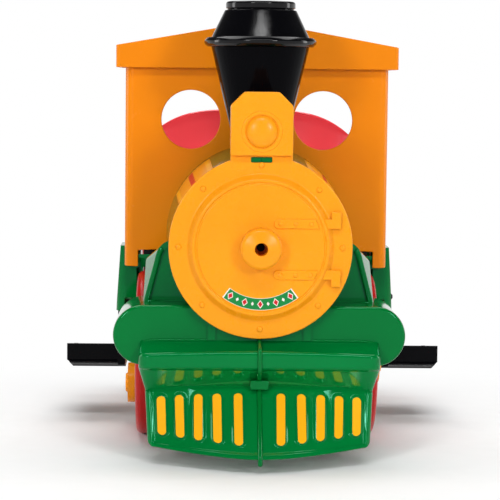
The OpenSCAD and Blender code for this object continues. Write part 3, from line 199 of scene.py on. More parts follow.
def moulded_plastic(name, colour, gloss, shine, shade, tint=WHITE, skin=0.03, band=None):
    """Injection-moulded plastic: slow flow shading, faint handling scuffs in the gloss and a fine skin.

    A band has a polish of its own. It lies between two heights and half a width to each side, in millimetres.
    """
    s = Shader(name)
    s.paint(s.noise(scale=7, detail=2), shaded(colour, 1 - shade), shaded(colour, 1 + shade))
    scuff = s.noise(scale=38, detail=6, stretch=(1, 0.35, 1), rough=0.7)
    s.feed("Roughness", s.span(scuff, gloss, gloss + SCUFF, *SCUFF_RANGE))
    s.bump(s.noise(scale=900, detail=2), strength=skin, depth=0.05)
    s.set(IOR=PLASTIC_IOR, Specular_IOR_Level=shine, Specular_Tint=tint)
    if band:
        half = band["half"] * MM
        inside = s.times(s.between("Z", band["low"] * MM, band["high"] * MM, BAND_FADE[1] * MM),
                         s.between("X", -half, half, BAND_FADE[0] * MM))
        s.feed("IOR", s.span(inside, PLASTIC_IOR, band["ior"], 0, 1))
        s.feed("Specular IOR Level", s.span(inside, shine, band["shine"], 0, 1))
        s.feed("Specular Tint", s.mix(inside, tint, band["tint"]))
    return s.material


def plated_steel(name, colour):
    """Bright plated steel with drawn streaks along X and a slight patchiness in its gloss."""
    s = Shader(name)
    streak = s.noise(scale=420, detail=4, stretch=(0.04, 1, 1), rough=0.6)
    s.paint(streak, shaded(colour, 0.86), shaded(colour))
    s.feed("Roughness", s.span(s.noise(scale=60), 0.22, 0.36))
    s.bump(streak, strength=0.05, depth=0.05)
    s.set(Metallic=1.0)
    return s.material


def soft_grain(name, colour, gloss, grain):
    """Matt moulded plastic with a fine spark-eroded grain."""
    s = Shader(name)
    s.paint(s.noise(scale=16), shaded(colour, 0.92), shaded(colour))
    s.feed("Roughness", s.span(s.noise(scale=120, detail=4), gloss - 0.05, gloss + 0.06))
    s.bump(s.noise(scale=1400), strength=grain, depth=0.12)
    return s.material


def film(name, colour):
    """Printed film: an even colour with faint ink mottle, a soft sheen and a slight orange-peel."""
    s = Shader(name)
    s.paint(s.noise(scale=220), shaded(colour, 0.93), shaded(colour))
    s.feed("Roughness", s.span(s.noise(scale=60), 0.3, 0.4))
    s.bump(s.noise(scale=700, detail=2), strength=0.05, depth=0.04)
    s.set(Specular_IOR_Level=0.25)
    return s.material


GREEN_TINT = (0.3, 1.0, 0.8, 1)
# Colour, gloss, shine and shade of each plastic
PLASTICS = {
    "green_body": (GREEN, 0.06, 0.32, 0.08, GREEN_TINT),
    "orange_front": (ORANGE, 0.26, 0.2, 0.03),
    "orange_cab": (CAB_ORANGE, 0.22, 0.17, 0.04),
    "red_wheel": (WHEEL_RED, 0.28, 0.25, 0.06),
    # The seat's colour is lightened with painted light.
    "red_seat": (SEAT_RED_PAINTED_LIGHT, 0.12, 0.6, 0.05),
    "yellow_trim": (STRIPE_YELLOW, 0.46, 0.12, 0.05),
    "black_plastic": (BLACK, 0.10, 0.13, 0.2),
}
FINISH = {name: moulded_plastic(name, *look) for name, look in PLASTICS.items()}
FINISH["steel"] = plated_steel("steel", STEEL)
FINISH["nylon"] = soft_grain("nylon", NYLON, 0.45, 0.06)
FINISH["battery_case"] = soft_grain("battery_case", BATTERY_GREY, 0.55, 0.25)
# Bands polished more than the rest of their pieces, and the finishes of single pieces
TREAD_EDGE = {"low": 77, "high": 82, "half": 300, "ior": PLASTIC_IOR, "shine": 1.0, "tint": WHITE}
UNDERCUT = {"low": 96, "high": 119, "half": 128, "ior": 2.1, "shine": 1.0, "tint": (0.42, 1.0, 0.5, 1)}
STEP_BLACK = moulded_plastic("step_black", BLACK, 0.2, 0.06, 0.2, skin=0.05, band=TREAD_EDGE)
# The pilot's finish takes the lightened grille green, so painted light is in its colour.
PILOT_GREEN_PAINTED_LIGHT = moulded_plastic("pilot_green_painted_light", GRILLE_GREEN_PAINTED_LIGHT, 0.06, 0.32, 0.08, GREEN_TINT, band=UNDERCUT)
OWN_FINISH = {
    "footrest_left": STEP_BLACK, "footrest_right": STEP_BLACK,
    "smokebox_screw": plated_steel("blacked_steel", BLACK),
    "smokestack_funnel": moulded_plastic("funnel_black", BLACK, 0.08, 0.035, 0.2),
    "smokestack_cap": moulded_plastic("cap_black", BLACK, 0.09, 0.24, 0.2),
}
FILMS = {"green": DECAL_GREEN, "red": DECAL_RED, "white": DECAL_WHITE, "orange": ORANGE,
         "yellow": STRIPE_YELLOW, "black": BLACK}
DECALS = {name: film("film_" + name, colour) for name, colour in FILMS.items()}


# Surfaces
MERGE = 2e-6
TINY_EDGE = 1e-7
CORNER_SHARE = 0.48
BEND_STEPS = 6
SLAB_STEPS = 5
FLAT_IN = 0.5
PIECE_SHARP = 40


def grid_faces(rows, columns, wrap, start):
    """Faces between the neighbours of a grid numbered row by row; wrap joins its last column to its first."""
    index = np.arange(rows * columns).reshape(rows, columns) + start
    if wrap:
        index = np.concatenate([index, index[:, :1]], axis=1)
    corners = [index[:-1, :-1], index[:-1, 1:], index[1:, 1:], index[1:, :-1]]
    return np.stack(corners, axis=-1).reshape(-1, 4)


def piece(name, grids, slot, body="train", replaces=(), material=None, sharp=PIECE_SHARP):
    """One object from grids of points in millimetres, each a pair of rows x columns x 3 points and wrap."""
    points, faces, start = [], [], 0
    for grid, wrap in grids:
        points.append(grid.reshape(-1, 3))
        faces.append(grid_faces(grid.shape[0], grid.shape[1], wrap, start))
        start += len(points[-1])
    points, faces = np.concatenate(points) * MM, np.concatenate(faces)
    mesh = bpy.data.meshes.new(name)
    mesh.vertices.add(len(points))
    mesh.vertices.foreach_set("co", points.astype(np.float32).ravel())
    mesh.loops.add(faces.size)
    mesh.loops.foreach_set("vertex_index", faces.astype(np.int32).ravel())
    mesh.polygons.add(len(faces))
    mesh.polygons.foreach_set("loop_start", np.arange(0, faces.size, 4, dtype=np.int32))
    mesh.update(calc_edges=True)
    bm = bmesh.new()
    bm.from_mesh(mesh)
    bmesh.ops.remove_doubles(bm, verts=bm.verts, dist=MERGE)
    bmesh.ops.dissolve_degenerate(bm, edges=bm.edges, dist=TINY_EDGE)
    bmesh.ops.recalc_face_normals(bm, faces=bm.faces)
    bm.to_mesh(mesh)
    bm.free()
    mesh.shade_smooth()
    mesh.set_sharp_from_angle(angle=math.radians(sharp))
    mesh.materials.append(material or FINISH[slot])
    obj = bpy.data.objects.new(name, mesh)
    bpy.context.scene.collection.objects.link(obj)
    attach(obj, body)
    if replaces:
        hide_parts(*replaces)
    return obj


def sheet_piece(name, grids, slot, material):
    """Thin film laid on a surface: open grids that sit a hair above it."""
    return piece(name, [(g, False) for g in grids], slot, material=material)


def ramp(start, end, x):
    """0 before start, 1 after end and a smooth step between them."""
    t = np.clip((x - start) / (end - start), 0, 1)
    return t * t * (3 - 2 * t)


def circle(steps):
    """The angles of one full turn in equal steps."""
    return np.linspace(0, 2 * math.pi, steps, endpoint=False)


def rectangle(half, low, high):
    """Corners of a rectangle from low to high, half a width to each side of the middle."""
    return np.array([[-half, low], [half, low], [half, high], [-half, high]])


def bent(points, before, after, radius, steps):
    """A parabola at each point, between places a radius along its sides to the points before and after it."""
    ends = []
    for side in (before - points, after - points):
        reach = np.linalg.norm(side, axis=1, keepdims=True)
        ends.append((points + side / reach * np.minimum(radius, CORNER_SHARE * reach))[:, None])
    t = np.linspace(0, 1, steps)[None, :, None]
    curve = (1 - t) ** 2 * ends[0] + 2 * t * (1 - t) * points[:, None] + t ** 2 * ends[1]
    return curve.reshape(-1, 2)


def softened(points, radius):
    """A closed outline with each corner bent round."""
    return bent(points, np.roll(points, 1, axis=0), np.roll(points, -1, axis=0), radius, BEND_STEPS)


def eased(points, radius, steps=BEND_STEPS):
    """An open line with each inner corner bent round."""
    points = np.asarray(points, float)
    curve = bent(points[1:-1], points[:-2], points[2:], radius, steps)
    return np.concatenate([points[:1], curve, points[-1:]])


def along_and_across(line):
    """Unit directions along a plane line and square to it, at each of its points."""
    slope = np.gradient(line, axis=0)
    slope /= np.linalg.norm(slope, axis=1, keepdims=True)
    return slope, np.stack([slope[:, 1], -slope[:, 0]], axis=1)


def slab(outline, low, high, edge):
    """A closed outline from low to high, with quarter-round edges and a fan to its middle at both ends."""
    tangent = np.roll(outline, -1, axis=0) - np.roll(outline, 1, axis=0)
    normal = np.stack([tangent[:, 1], -tangent[:, 0]], axis=1)
    normal /= np.linalg.norm(normal, axis=1, keepdims=True) + 1e-12
    following = np.roll(outline, -1, axis=0)
    normal *= np.sign(np.sum(outline[:, 0] * following[:, 1] - outline[:, 1] * following[:, 0]))
    a = np.linspace(0, math.pi / 2, SLAB_STEPS)
    flat = [edge + FLAT_IN]
    inset = np.concatenate([flat, edge * (1 - np.sin(a)), edge * (1 - np.cos(a)), flat])
    height = np.concatenate([[low], low + edge * (1 - np.cos(a)), high - edge * (1 - np.sin(a)), [high]])
    rings = outline[None] - normal[None] * inset[:, None, None]
    middle = np.broadcast_to(outline.mean(axis=0), (1,) + outline.shape)
    rings = np.concatenate([middle, rings, middle])
    height = np.concatenate([[low], height, [high]])
    return np.dstack([rings, np.broadcast_to(height[:, None], rings.shape[:2])])


def turned(profile, steps):
    """A profile of radius and height carried once round the Z axis."""
    angle = circle(steps)
    profile = np.asarray(profile, float)
    return np.stack([np.outer(profile[:, 0], np.cos(angle)), np.outer(profile[:, 0], np.sin(angle)),
                     np.outer(profile[:, 1], np.ones(steps))], axis=-1)


def facing(points, y, z):
    """A shape drawn with its own Z up, turned to face the front at y, z."""
    return np.stack([points[..., 0], y - points[..., 2], points[..., 1] + z], axis=-1)


# Pilot: the same loft as the part's, with round bars, keel and edges. Its crease lies a little deeper, so
# that the stripes mirror in the undercut. Places on the grille are shares of the way from crease to foot.
PILOT_LENGTH = 95.0
LEDGE_LENGTH = 35.0
LEDGE_FRONT_Z = 143.5
LEDGE_CROWN = 3.5
LEDGE_EDGE = 5.5
LEDGE_END_R = 14.0
LEDGE_END_STEPS = 14
ACROSS_STEPS = 267
EDGE_STEPS = 7
FACE_FOOT_Z = 119.5
UNDERCUT_STEPS = 14
CREASE_Z = 100.0
CREASE_DROP = 9.0
CREASE_IN = 84.0
CREASE_HW = 142.5
GRILLE_END_R = 7.0
FOOT_HW = 139.0
FOOT_RISE = 6.0
FOOT_CORNER_R = 9.0
NOSE_SHARE = 0.62
NOSE_R = 30.0
WALL = 4.0
INNER_SKIP = 6
BAR_X = np.array([26.5, 52.8, 76.6, 99.8, 122.8])
BAR_TOP = 0.125
BAR_FOOT = (0.83, 0.0005)  # at the middle, and less by so much a millimetre to the side
BAR_FLAT = 5.8
BAR_EDGE = 3.8
BAR_H = 3.0
BAR_STEPS = 84
RIM_H = 2.5
RIM_RISE = (0.90, 0.95)
RIM_FALL = (0.985, 1.0)
RIM_LOSS = 0.8
RIM_STEPS = 12
SIDE_RIM = (10.0, 6.5)  # in from the end, where it starts and where it is full
SIDE_RIM_START = 0.04
KEEL_HW = 3.1
KEEL_H = 4.0
KEEL_IN = 0.5
KEEL_BEND = 4.0
KEEL_TAIL = (0.6, 5.5)  # forward and down from the foot
KEEL_TIP_STEPS = 9
BLOCK = (11.5, 94.2, 105.6)  # half width, foot and top
BLOCK_IN = 83.5
BLOCK_OUT = 14.5
BLOCK_R = 2.8
BLOCK_EDGE = 1.3
BEAD_R = 1.5
BEAD_ENDS = (66.0, 148.0)
BEAD_LIFT = 0.4
BEAD_FALL = 12
BEAD_TIP = 0.8
BEAD_STEPS = 24
ROUND_STEPS = 24
STRIPE_HW = 5.4
STRIPE_T = 0.8
STRIPE_RINGS = np.array([1.0, 1.0, 0.94, 0.8, 0.4, 0.0])
STRIPE_RISE = np.array([-0.2, 0.55, 0.9, 1.0, 1.0, 1.0]) * STRIPE_T
STRIPE_STEPS = 40
STRIPE_LEAN = 1.2
STRIPE_PHASE = 2.3

bar_x = np.concatenate([-BAR_X[::-1], BAR_X])
face_y = nose_y + PILOT_LENGTH - LEDGE_LENGTH


def quarter(x, limit, radius):
    """How far a quarter circle of a radius falls at x, where it ends upright at a limit."""
    over = np.clip((np.abs(x) - limit + radius) / radius, 0, 1)
    return radius * (1 - np.sqrt(1 - over ** 2))


def grille_point(x, share, lift):
    """A straight line from crease to foot for each x, where the foot runs back in a V with a round nose."""
    nose = np.sqrt((NOSE_SHARE * x * FOOT_HW / CREASE_HW) ** 2 + NOSE_R ** 2) - NOSE_R + KEEL_H + RIM_H
    top = CREASE_Z - CREASE_DROP * (x / CREASE_HW) ** 2
    foot = foot_z + FOOT_RISE * (x / CREASE_HW) ** 2 + quarter(x, CREASE_HW, FOOT_CORNER_R)
    half = CREASE_HW + (FOOT_HW - CREASE_HW) * share
    return np.stack([x * half / CREASE_HW, nose_y + CREASE_IN + (nose - CREASE_IN) * share - lift,
                     top + (foot - top) * share], axis=-1)


def grille_run(x):
    """Length of the grille's line at x, from crease to foot."""
    foot, crease = grille_point(x, np.ones_like(x), 0.0), grille_point(x, np.zeros_like(x), 0.0)
    return np.linalg.norm(foot - crease, axis=-1)


def bar_ends(x, radius):
    """Shares at which a bar's straight run starts and ends, a radius inside its tips."""
    inset = radius / grille_run(x)
    return BAR_TOP + inset, BAR_FOOT[0] - BAR_FOOT[1] * np.abs(x) - inset


def bar_lift(x, share):
    """Height of the nearest bar: flat on top, falling in a half cosine away from its middle line."""
    top, foot = bar_ends(x, BAR_FLAT)
    past = np.maximum(np.maximum(top - share, share - foot), 0) * grille_run(x)
    away = np.hypot(np.abs(x[..., None] - bar_x).min(axis=-1), past)
    return BAR_H * (0.5 + 0.5 * np.cos(math.pi * np.clip((away - BAR_FLAT) / BAR_EDGE, 0, 1)))


def build_pilot():
    """Section rows from the ledge's back over its edge, face, undercut and grille, then back up inside."""
    tail = CREASE_HW - LEDGE_END_R * (1 - np.sin(np.linspace(0, math.pi / 2, LEDGE_END_STEPS)))
    x = np.concatenate([-tail[::-1], np.linspace(-tail[0], tail[0], ACROSS_STEPS)[1:-1], tail])
    wide = x * ledge_hw / CREASE_HW
    end = np.abs(x) > CREASE_HW - WALL
    ledge_pull, grille_pull = quarter(x, CREASE_HW, LEDGE_END_R), quarter(x, CREASE_HW, GRILLE_END_R)
    sink = quarter(x, CREASE_HW, LEDGE_EDGE)
    front_z = LEDGE_FRONT_Z - LEDGE_CROWN * (x / CREASE_HW) ** 2
    back = min(pilot_back_y, nose_y + PILOT_LENGTH)
    e = LEDGE_EDGE

    def row(y, z):
        """One row across the ledge."""
        return np.stack([wide, np.broadcast_to(y, x.shape), np.broadcast_to(z, x.shape)], axis=-1)

    angle = np.linspace(0, math.pi / 2, EDGE_STEPS)
    top = [row(back, ledge_back_z - sink)]
    top += [row(face_y + e - e * np.sin(a) + ledge_pull, front_z - e * (1 - np.cos(a)) - sink * np.cos(a))
            for a in angle]
    top += [row(face_y + e - e * np.cos(a) + ledge_pull, FACE_FOOT_Z + e - e * np.sin(a)) for a in angle]
    top = np.array(top)
    share = np.concatenate([np.linspace(0, RIM_RISE[0], BAR_STEPS),
                            np.linspace(RIM_RISE[0] + 0.01, 1, RIM_STEPS)])[:, None]
    gx = np.broadcast_to(x, (len(share), len(x)))
    rim = RIM_H * (ramp(*RIM_RISE, share) - RIM_LOSS * ramp(*RIM_FALL, share))
    edge = RIM_H * ramp(CREASE_HW - SIDE_RIM[0], CREASE_HW - SIDE_RIM[1], np.abs(gx))
    edge = edge * ramp(0.0, SIDE_RIM_START, share)
    grille = grille_point(gx, share, np.maximum(rim, edge) + bar_lift(gx, share) - grille_pull)
    fall = np.linspace(0, 1, UNDERCUT_STEPS)[1:-1, None, None]
    outer = np.concatenate([top, top[-1] + fall * (grille[0] - top[-1]), grille])
    inner_top = top.copy()
    inner_top[..., 1] = np.maximum(top[..., 1], face_y) + WALL
    inner_top[..., 2] = np.clip(top[..., 2], FACE_FOOT_Z + WALL, ledge_back_z - WALL)
    inner_top[0, :, 1] = back
    inner_grille = grille_point(gx, share, -WALL - grille_pull)
    inner_fall = inner_top[-1] + fall * (inner_grille[0] - inner_top[-1])
    inner = np.concatenate([inner_top, inner_fall, inner_grille])
    inner[..., 1] = np.minimum(inner[..., 1], back)
    inner[1:, end, 1] = back
    n = len(outer)
    inner = inner[::-1][np.r_[0:n:INNER_SKIP, n - 1]]
    shell = np.concatenate([outer, inner, outer[:1]])
    ends = [(np.stack([outer[:, k], np.stack([outer[:, k, 0], np.full(n, back), outer[:, k, 2]], -1)]), False)
            for k in (0, -1)]
    piece("pilot_shell", [(shell, False)] + ends, "green_body", replaces=["pilot"], material=PILOT_GREEN_PAINTED_LIGHT,
          sharp=50)


def build_keel():
    """An oval bar down the middle line, a block on the crease and beads at the ledge's back."""
    foot = grille_point(np.array([0.0]), np.array([1.0]), 0.0)[0]
    line = eased([[pilot_back_y - KEEL_IN, ledge_back_z], [face_y, LEDGE_FRONT_Z], [face_y, FACE_FOOT_Z],
                  [nose_y + CREASE_IN, CREASE_Z], [foot[1], foot[2]],
                  [foot[1] - KEEL_TAIL[0], foot[2] - KEEL_TAIL[1]]], KEEL_BEND)
    slope, out = along_and_across(line)
    tip = np.sin(np.linspace(math.pi / 2, 0, KEEL_TIP_STEPS))[1:]
    line = np.concatenate([line, line[-1] + slope[-1] * KEEL_HW * np.sqrt(1 - tip[:, None] ** 2)])
    out = np.concatenate([out, np.repeat(out[-1:], len(tip), axis=0)])
    size = np.concatenate([np.ones(len(line) - len(tip)), tip])[:, None]
    turn = circle(ROUND_STEPS)
    lift = size * KEEL_H * np.cos(turn)
    bar = np.stack([size * KEEL_HW * np.sin(turn), line[:, :1] + out[:, :1] * lift,
                    line[:, 1:] + out[:, 1:] * lift], axis=-1)
    block = slab(softened(rectangle(*BLOCK), BLOCK_R), 0, BLOCK_OUT, BLOCK_EDGE)
    grids = [(bar, True), (facing(block, nose_y + BLOCK_IN, 0), True)]
    along = np.concatenate([[0, 0], np.linspace(0, 1, BEAD_STEPS), [1, 1]])[:, None]
    thick = BEAD_R * np.concatenate([[0, BEAD_TIP], np.ones(BEAD_STEPS), [BEAD_TIP, 0]])[:, None]
    for side in (-1, 1):
        x = side * (BEAD_ENDS[0] + (BEAD_ENDS[1] - BEAD_ENDS[0]) * along)
        z = ledge_back_z + BEAD_LIFT - LEDGE_EDGE * ((along * BEAD_ENDS[1] / ledge_hw) ** BEAD_FALL)
        grids.append((np.stack([x + 0 * turn, pilot_back_y - BEAD_R + thick * np.cos(turn),
                                z + thick * np.sin(turn)], -1), True))
    piece("pilot_keel", grids, "green_body")


def build_stripes():
    """Crowned strips with round ends laid on the bars: rings shrink from each outline to a line."""
    angle = circle(STRIPE_STEPS)
    grids = []
    for k, x in enumerate(bar_x):
        length = grille_run(np.array([x]))
        top, foot = bar_ends(np.array([x]), STRIPE_HW)
        along = np.where(np.sin(angle) >= 0, top, foot)
        along = along - STRIPE_HW * np.outer(STRIPE_RINGS, np.sin(angle)) / length
        lean = STRIPE_LEAN * math.sin(STRIPE_PHASE * k) * (along - 0.5)
        across = STRIPE_HW * np.outer(STRIPE_RINGS, np.cos(angle)) + lean
        grids.append((grille_point(x + across, along, BAR_H + STRIPE_RISE[:, None]), True))
    piece("pilot_bar_stripes", grids, "yellow_trim", replaces=["pilot_stripes"])


build_pilot()
build_keel()
build_stripes()


# Seat: the same curved shell as the part's, with a rolled rim. Places on it are shares of its side line, from
# the front lip to the top, and shares of its half width.
seat_lo, seat_hi = corner("seat"), corner("seat", True)
SEAT_PAN_Z = 250.0
SEAT_T = 5.0
SEAT_L = 193.4
SEAT_LEAN = 14.0
SEAT_BOLSTER = 22.0
SEAT_SIDE_RISE = 14.0
SEAT_RIM = 5.0
SEAT_RIM_START = (0.86, 0.95)  # across and along
SEAT_WING_POWER = 4
SEAT_CROWN = 46.0
SEAT_CROWN_START = 0.55
SEAT_CROWN_POWER = 3.7
SEAT_PAN_START = (0.04, 0.2)
SEAT_BACK_START = (0.5, 0.75)
SEAT_BEND = 0.035
SEAT_BEND_STEPS = 15
SEAT_RUN = 404
SEAT_STEPS = (141, 101)  # along and across


def seat_line(t):
    """Side line of the seat: up the lip, back along the pan and up the leaning back, its bends averaged."""
    y0, lip_z, top_z = seat_lo[1], seat_lo[2], seat_hi[2]
    corners = np.array([[y0, lip_z], [y0, SEAT_PAN_Z], [y0 + SEAT_L, SEAT_PAN_Z],
                        [y0 + SEAT_L + SEAT_LEAN, top_z]])
    run = np.array([0, SEAT_PAN_Z - lip_z, SEAT_PAN_Z - lip_z + SEAT_L, top_z - lip_z + SEAT_L])
    window = np.linspace(-SEAT_BEND, SEAT_BEND, SEAT_BEND_STEPS)
    s = np.clip(t[:, None] + window, 0, 1) * run[-1]
    return np.stack([np.interp(s, run, corners[:, k]).mean(axis=1) for k in (0, 1)], axis=-1)


def build_seat():
    """The side line carried across, its sides curled in, its top crowned and its border rolled round."""
    t, u = np.linspace(0, 1, SEAT_STEPS[0]), np.linspace(-1, 1, SEAT_STEPS[1])
    line = seat_line(t)
    normal = -along_and_across(line)[1]
    back = ramp(*SEAT_BACK_START, t)[:, None]
    pan = ramp(*SEAT_PAN_START, t)[:, None] * (1 - back)
    wing = np.abs(u)[None] ** SEAT_WING_POWER
    rim = SEAT_RIM * np.maximum(ramp(SEAT_RIM_START[0], 1, np.abs(u))[None],
                                ramp(SEAT_RIM_START[1], 1, t)[:, None])
    drop = np.clip((t[:, None] - SEAT_CROWN_START) / (1 - SEAT_CROWN_START), 0, 1)
    drop = SEAT_CROWN * np.abs(u)[None] ** SEAT_CROWN_POWER * drop
    y = line[:, :1] - (wing * SEAT_BOLSTER + rim) * back
    z = line[:, 1:] + (wing * SEAT_SIDE_RISE + rim) * pan - drop
    half = (seat_hi[0] - seat_lo[0]) / 2
    near = np.minimum((1 - np.abs(u))[None] * half, np.minimum(t, 1 - t)[:, None] * SEAT_RUN)
    roll = np.clip(1 - near / (SEAT_T / 2), 0, 1)
    swell = SEAT_T / 2 * np.sqrt(1 - roll ** 2)

    def side(sign):
        """The upper or lower skin, half the swelling thickness off the middle."""
        depth = SEAT_T / 2 - sign * swell
        return np.stack([np.broadcast_to(u * half, y.shape), y - normal[:, :1] * depth,
                         z - normal[:, 1:] * depth], axis=-1)

    piece("seat_shell", [(side(1), False), (side(-1), False)], "red_seat", "seat", ["seat"], sharp=60)


build_seat()


# Smokebox front: flange, door, straps, bolts and lamp as one moulding with soft edges, drawn about its middle
FLANGE_R = 114.5
FLANGE_T = 5.0
FLANGE_INNER_R = 98.0
DOOR_FACE = 13.0
DOOR_FLAT = DOOR_FACE - 0.4
DOOR_EDGE_R = 84.8
DOOR_FOOT_R = (91.4, 95.0)
DOOR_STEPS = 160
GROOVE_R = (78.6, 79.6, 80.6, 82.0)
GROOVE_D = 1.8
HOLLOW = (77.0, 9.0)  # radius and depth
HOLLOW_RIM_R = 88.0
BOSS_R = 12.0
KNOB_R = 25.5
KNOB_TIP = 41.0
KNOB_HOLE_R = 8.0
KNOB_HOLE_FLOOR = 4.0
NECK = (-20.0, 4.0)  # foot and top, from the lamp's foot
NECK_BACK = 0.3
NECK_RISE = 0.12
NECK_R = 2.6
NECK_EDGE = 1.2
LAMP_HW = 38.6
LAMP_H = 78.6
LAMP_CHAMFER = 17.0
LAMP_OUT = 12.0
LAMP_L = 45.0
LAMP_R = 2.8
LAMP_EDGE = 1.3
DOME_R = 21.0
DOME_Z = 29.7
DOME_IN = 1.2
DOME_H = 7.5
DOME_ROUND = 0.99
DOME_STEPS = (12, 72)  # along its section and round it
SLOT = (26.5, 7.0, 5.2)  # width, height and drop from the lamp's foot
SLOT_R = 2.0
SLOT_EDGE = 0.01
SLOT_DEPTH = (-3, 9)
BOLT_RING_R = 102.0
BOLTS = 8
STRAP_T = 1.6
STRAP_W = 12.5
STRAP_EDGE = 1.3
STRAP_ENDS = (15.7, 99.5)
STRAPS = ((30.0, (0, 9)), (-33.5, (-9, 0)))  # height, and how its hinge reaches further down and up
STRAP_SINK = 0.4
STRAP_FLAT = 0.7
STRAP_TIP = 0.02
STRAP_STEPS = (5, 60, 7)  # over an edge, along and across
HINGE_W = 12.0
HINGE_LAP = 6.0
HINGE_T = STRAP_T + 0.08
STRAP_HEAD = (3.0, 1.3)  # radius and rise
STRAP_HEAD_X = [24.3 + 18.9 * k for k in range(3)]
HEAD_SINK = 0.6
HEAD_RINGS = 7
HEAD_STEPS = 28
smokebox_lo, smokebox_hi = corner("smokebox_front"), corner("smokebox_front", True)
flange_y = smokebox_lo[1] + KNOB_TIP
boiler_z = smokebox_lo[2] + FLANGE_R
lamp_foot = smokebox_hi[2] - LAMP_H - boiler_z

door_line = np.concatenate([
    [[0, KNOB_HOLE_FLOOR], [KNOB_HOLE_R, KNOB_HOLE_FLOOR]],
    eased([[KNOB_HOLE_R, KNOB_HOLE_FLOOR + 1], [KNOB_HOLE_R, KNOB_TIP], [KNOB_R - 3, KNOB_TIP - 4],
           [KNOB_R, KNOB_TIP - 7], [KNOB_R, DOOR_FLAT], [GROOVE_R[0] - 2.6, DOOR_FLAT]], 1.6),
    eased([[GROOVE_R[0] - 1.6, DOOR_FLAT], [GROOVE_R[0], DOOR_FLAT], [GROOVE_R[1], DOOR_FACE - GROOVE_D],
           [GROOVE_R[2], DOOR_FACE - GROOVE_D], [GROOVE_R[3], DOOR_FACE - 0.1],
           [DOOR_EDGE_R, DOOR_FACE - 0.3], [DOOR_FOOT_R[0], FLANGE_T], [DOOR_FOOT_R[1], FLANGE_T]], 1.7),
    eased([[FLANGE_INNER_R, FLANGE_T], [FLANGE_R, FLANGE_T], [FLANGE_R, 0], [HOLLOW_RIM_R, 0]], 1.8),
    [HOLLOW, [BOSS_R, HOLLOW[1]], [BOSS_R, 0], [0, 0]]])


def on_front(points):
    """Points drawn about the smokebox's middle, put in their place on the train."""
    return facing(points, flange_y, boiler_z)


def moved(points, x, z, height):
    """Points shifted by a place on the door and a height off it."""
    return points + np.array([x, z, height])


def door_height(r):
    """Height of the smokebox front at a radius outside the knob, from its section line."""
    part = door_line[(door_line[:, 1] > FLANGE_T - 0.1) & (door_line[:, 0] > KNOB_R)]
    return np.interp(r, part[:, 0], part[:, 1])


def blanket(x0, x1, z0, z1, rise, tip=0.0):
    """A raised strip on the door: a grid over a rectangle, lifted off the door and falling at its border."""
    edge, length, half = STRAP_EDGE, x1 - x0, (z1 - z0) / 2
    n, along, across = STRAP_STEPS
    u = np.concatenate([np.linspace(0, edge, n), np.linspace(edge, length - edge, along)[1:-1],
                        length - np.linspace(edge, 0, n)])
    v = np.concatenate([np.linspace(-1, -1 + edge / half, n), np.linspace(-STRAP_FLAT, STRAP_FLAT, across),
                        np.linspace(1 - edge / half, 1, n)])
    reach = half * np.sqrt(1 - np.clip(1 - u / max(tip, 1e-6), 0, 1) ** 2)
    reach = np.maximum(reach, STRAP_TIP)
    x = np.broadcast_to(x0 + u[:, None], (len(u), len(v)))
    z = (z0 + z1) / 2 + reach[:, None] * v[None]
    near = np.minimum(np.minimum(u, length - u)[:, None], (1 - np.abs(v))[None] * half)
    fall = np.clip(1 - near / edge, 0, 1)
    height = door_height(np.hypot(x, z)) + (rise + STRAP_SINK) * np.sqrt(1 - fall ** 2) - STRAP_SINK
    return np.stack([x, z, height], axis=-1)


def button_head(r, rise):
    """Section line of a low round head that sinks into what it sits on."""
    a = np.linspace(0, math.pi / 2, HEAD_RINGS)
    return np.stack([r * np.sin(a), rise * np.cos(a)], axis=-1).tolist() + [[r, -HEAD_SINK]]


def cut_slot(obj):
    """The slot under the lamp, cut through a closed piece by a round-cornered block that then goes away."""
    w, h, drop = SLOT
    z = lamp_foot - drop
    outline = softened(rectangle(w / 2, z - h / 2, z + h / 2), SLOT_R)
    block = piece("slot_cutter", [(on_front(slab(outline, *SLOT_DEPTH, SLOT_EDGE)), True)], "orange_front")
    cut = obj.modifiers.new("slot", "BOOLEAN")
    cut.operation, cut.solver, cut.object = "DIFFERENCE", "EXACT", block
    bpy.context.view_layer.update()
    done = bpy.data.meshes.new_from_object(obj.evaluated_get(bpy.context.evaluated_depsgraph_get()))
    obj.modifiers.clear()
    obj.data = done
    done.shade_smooth()
    done.set_sharp_from_angle(angle=math.radians(PIECE_SHARP))
    bpy.data.objects.remove(block)


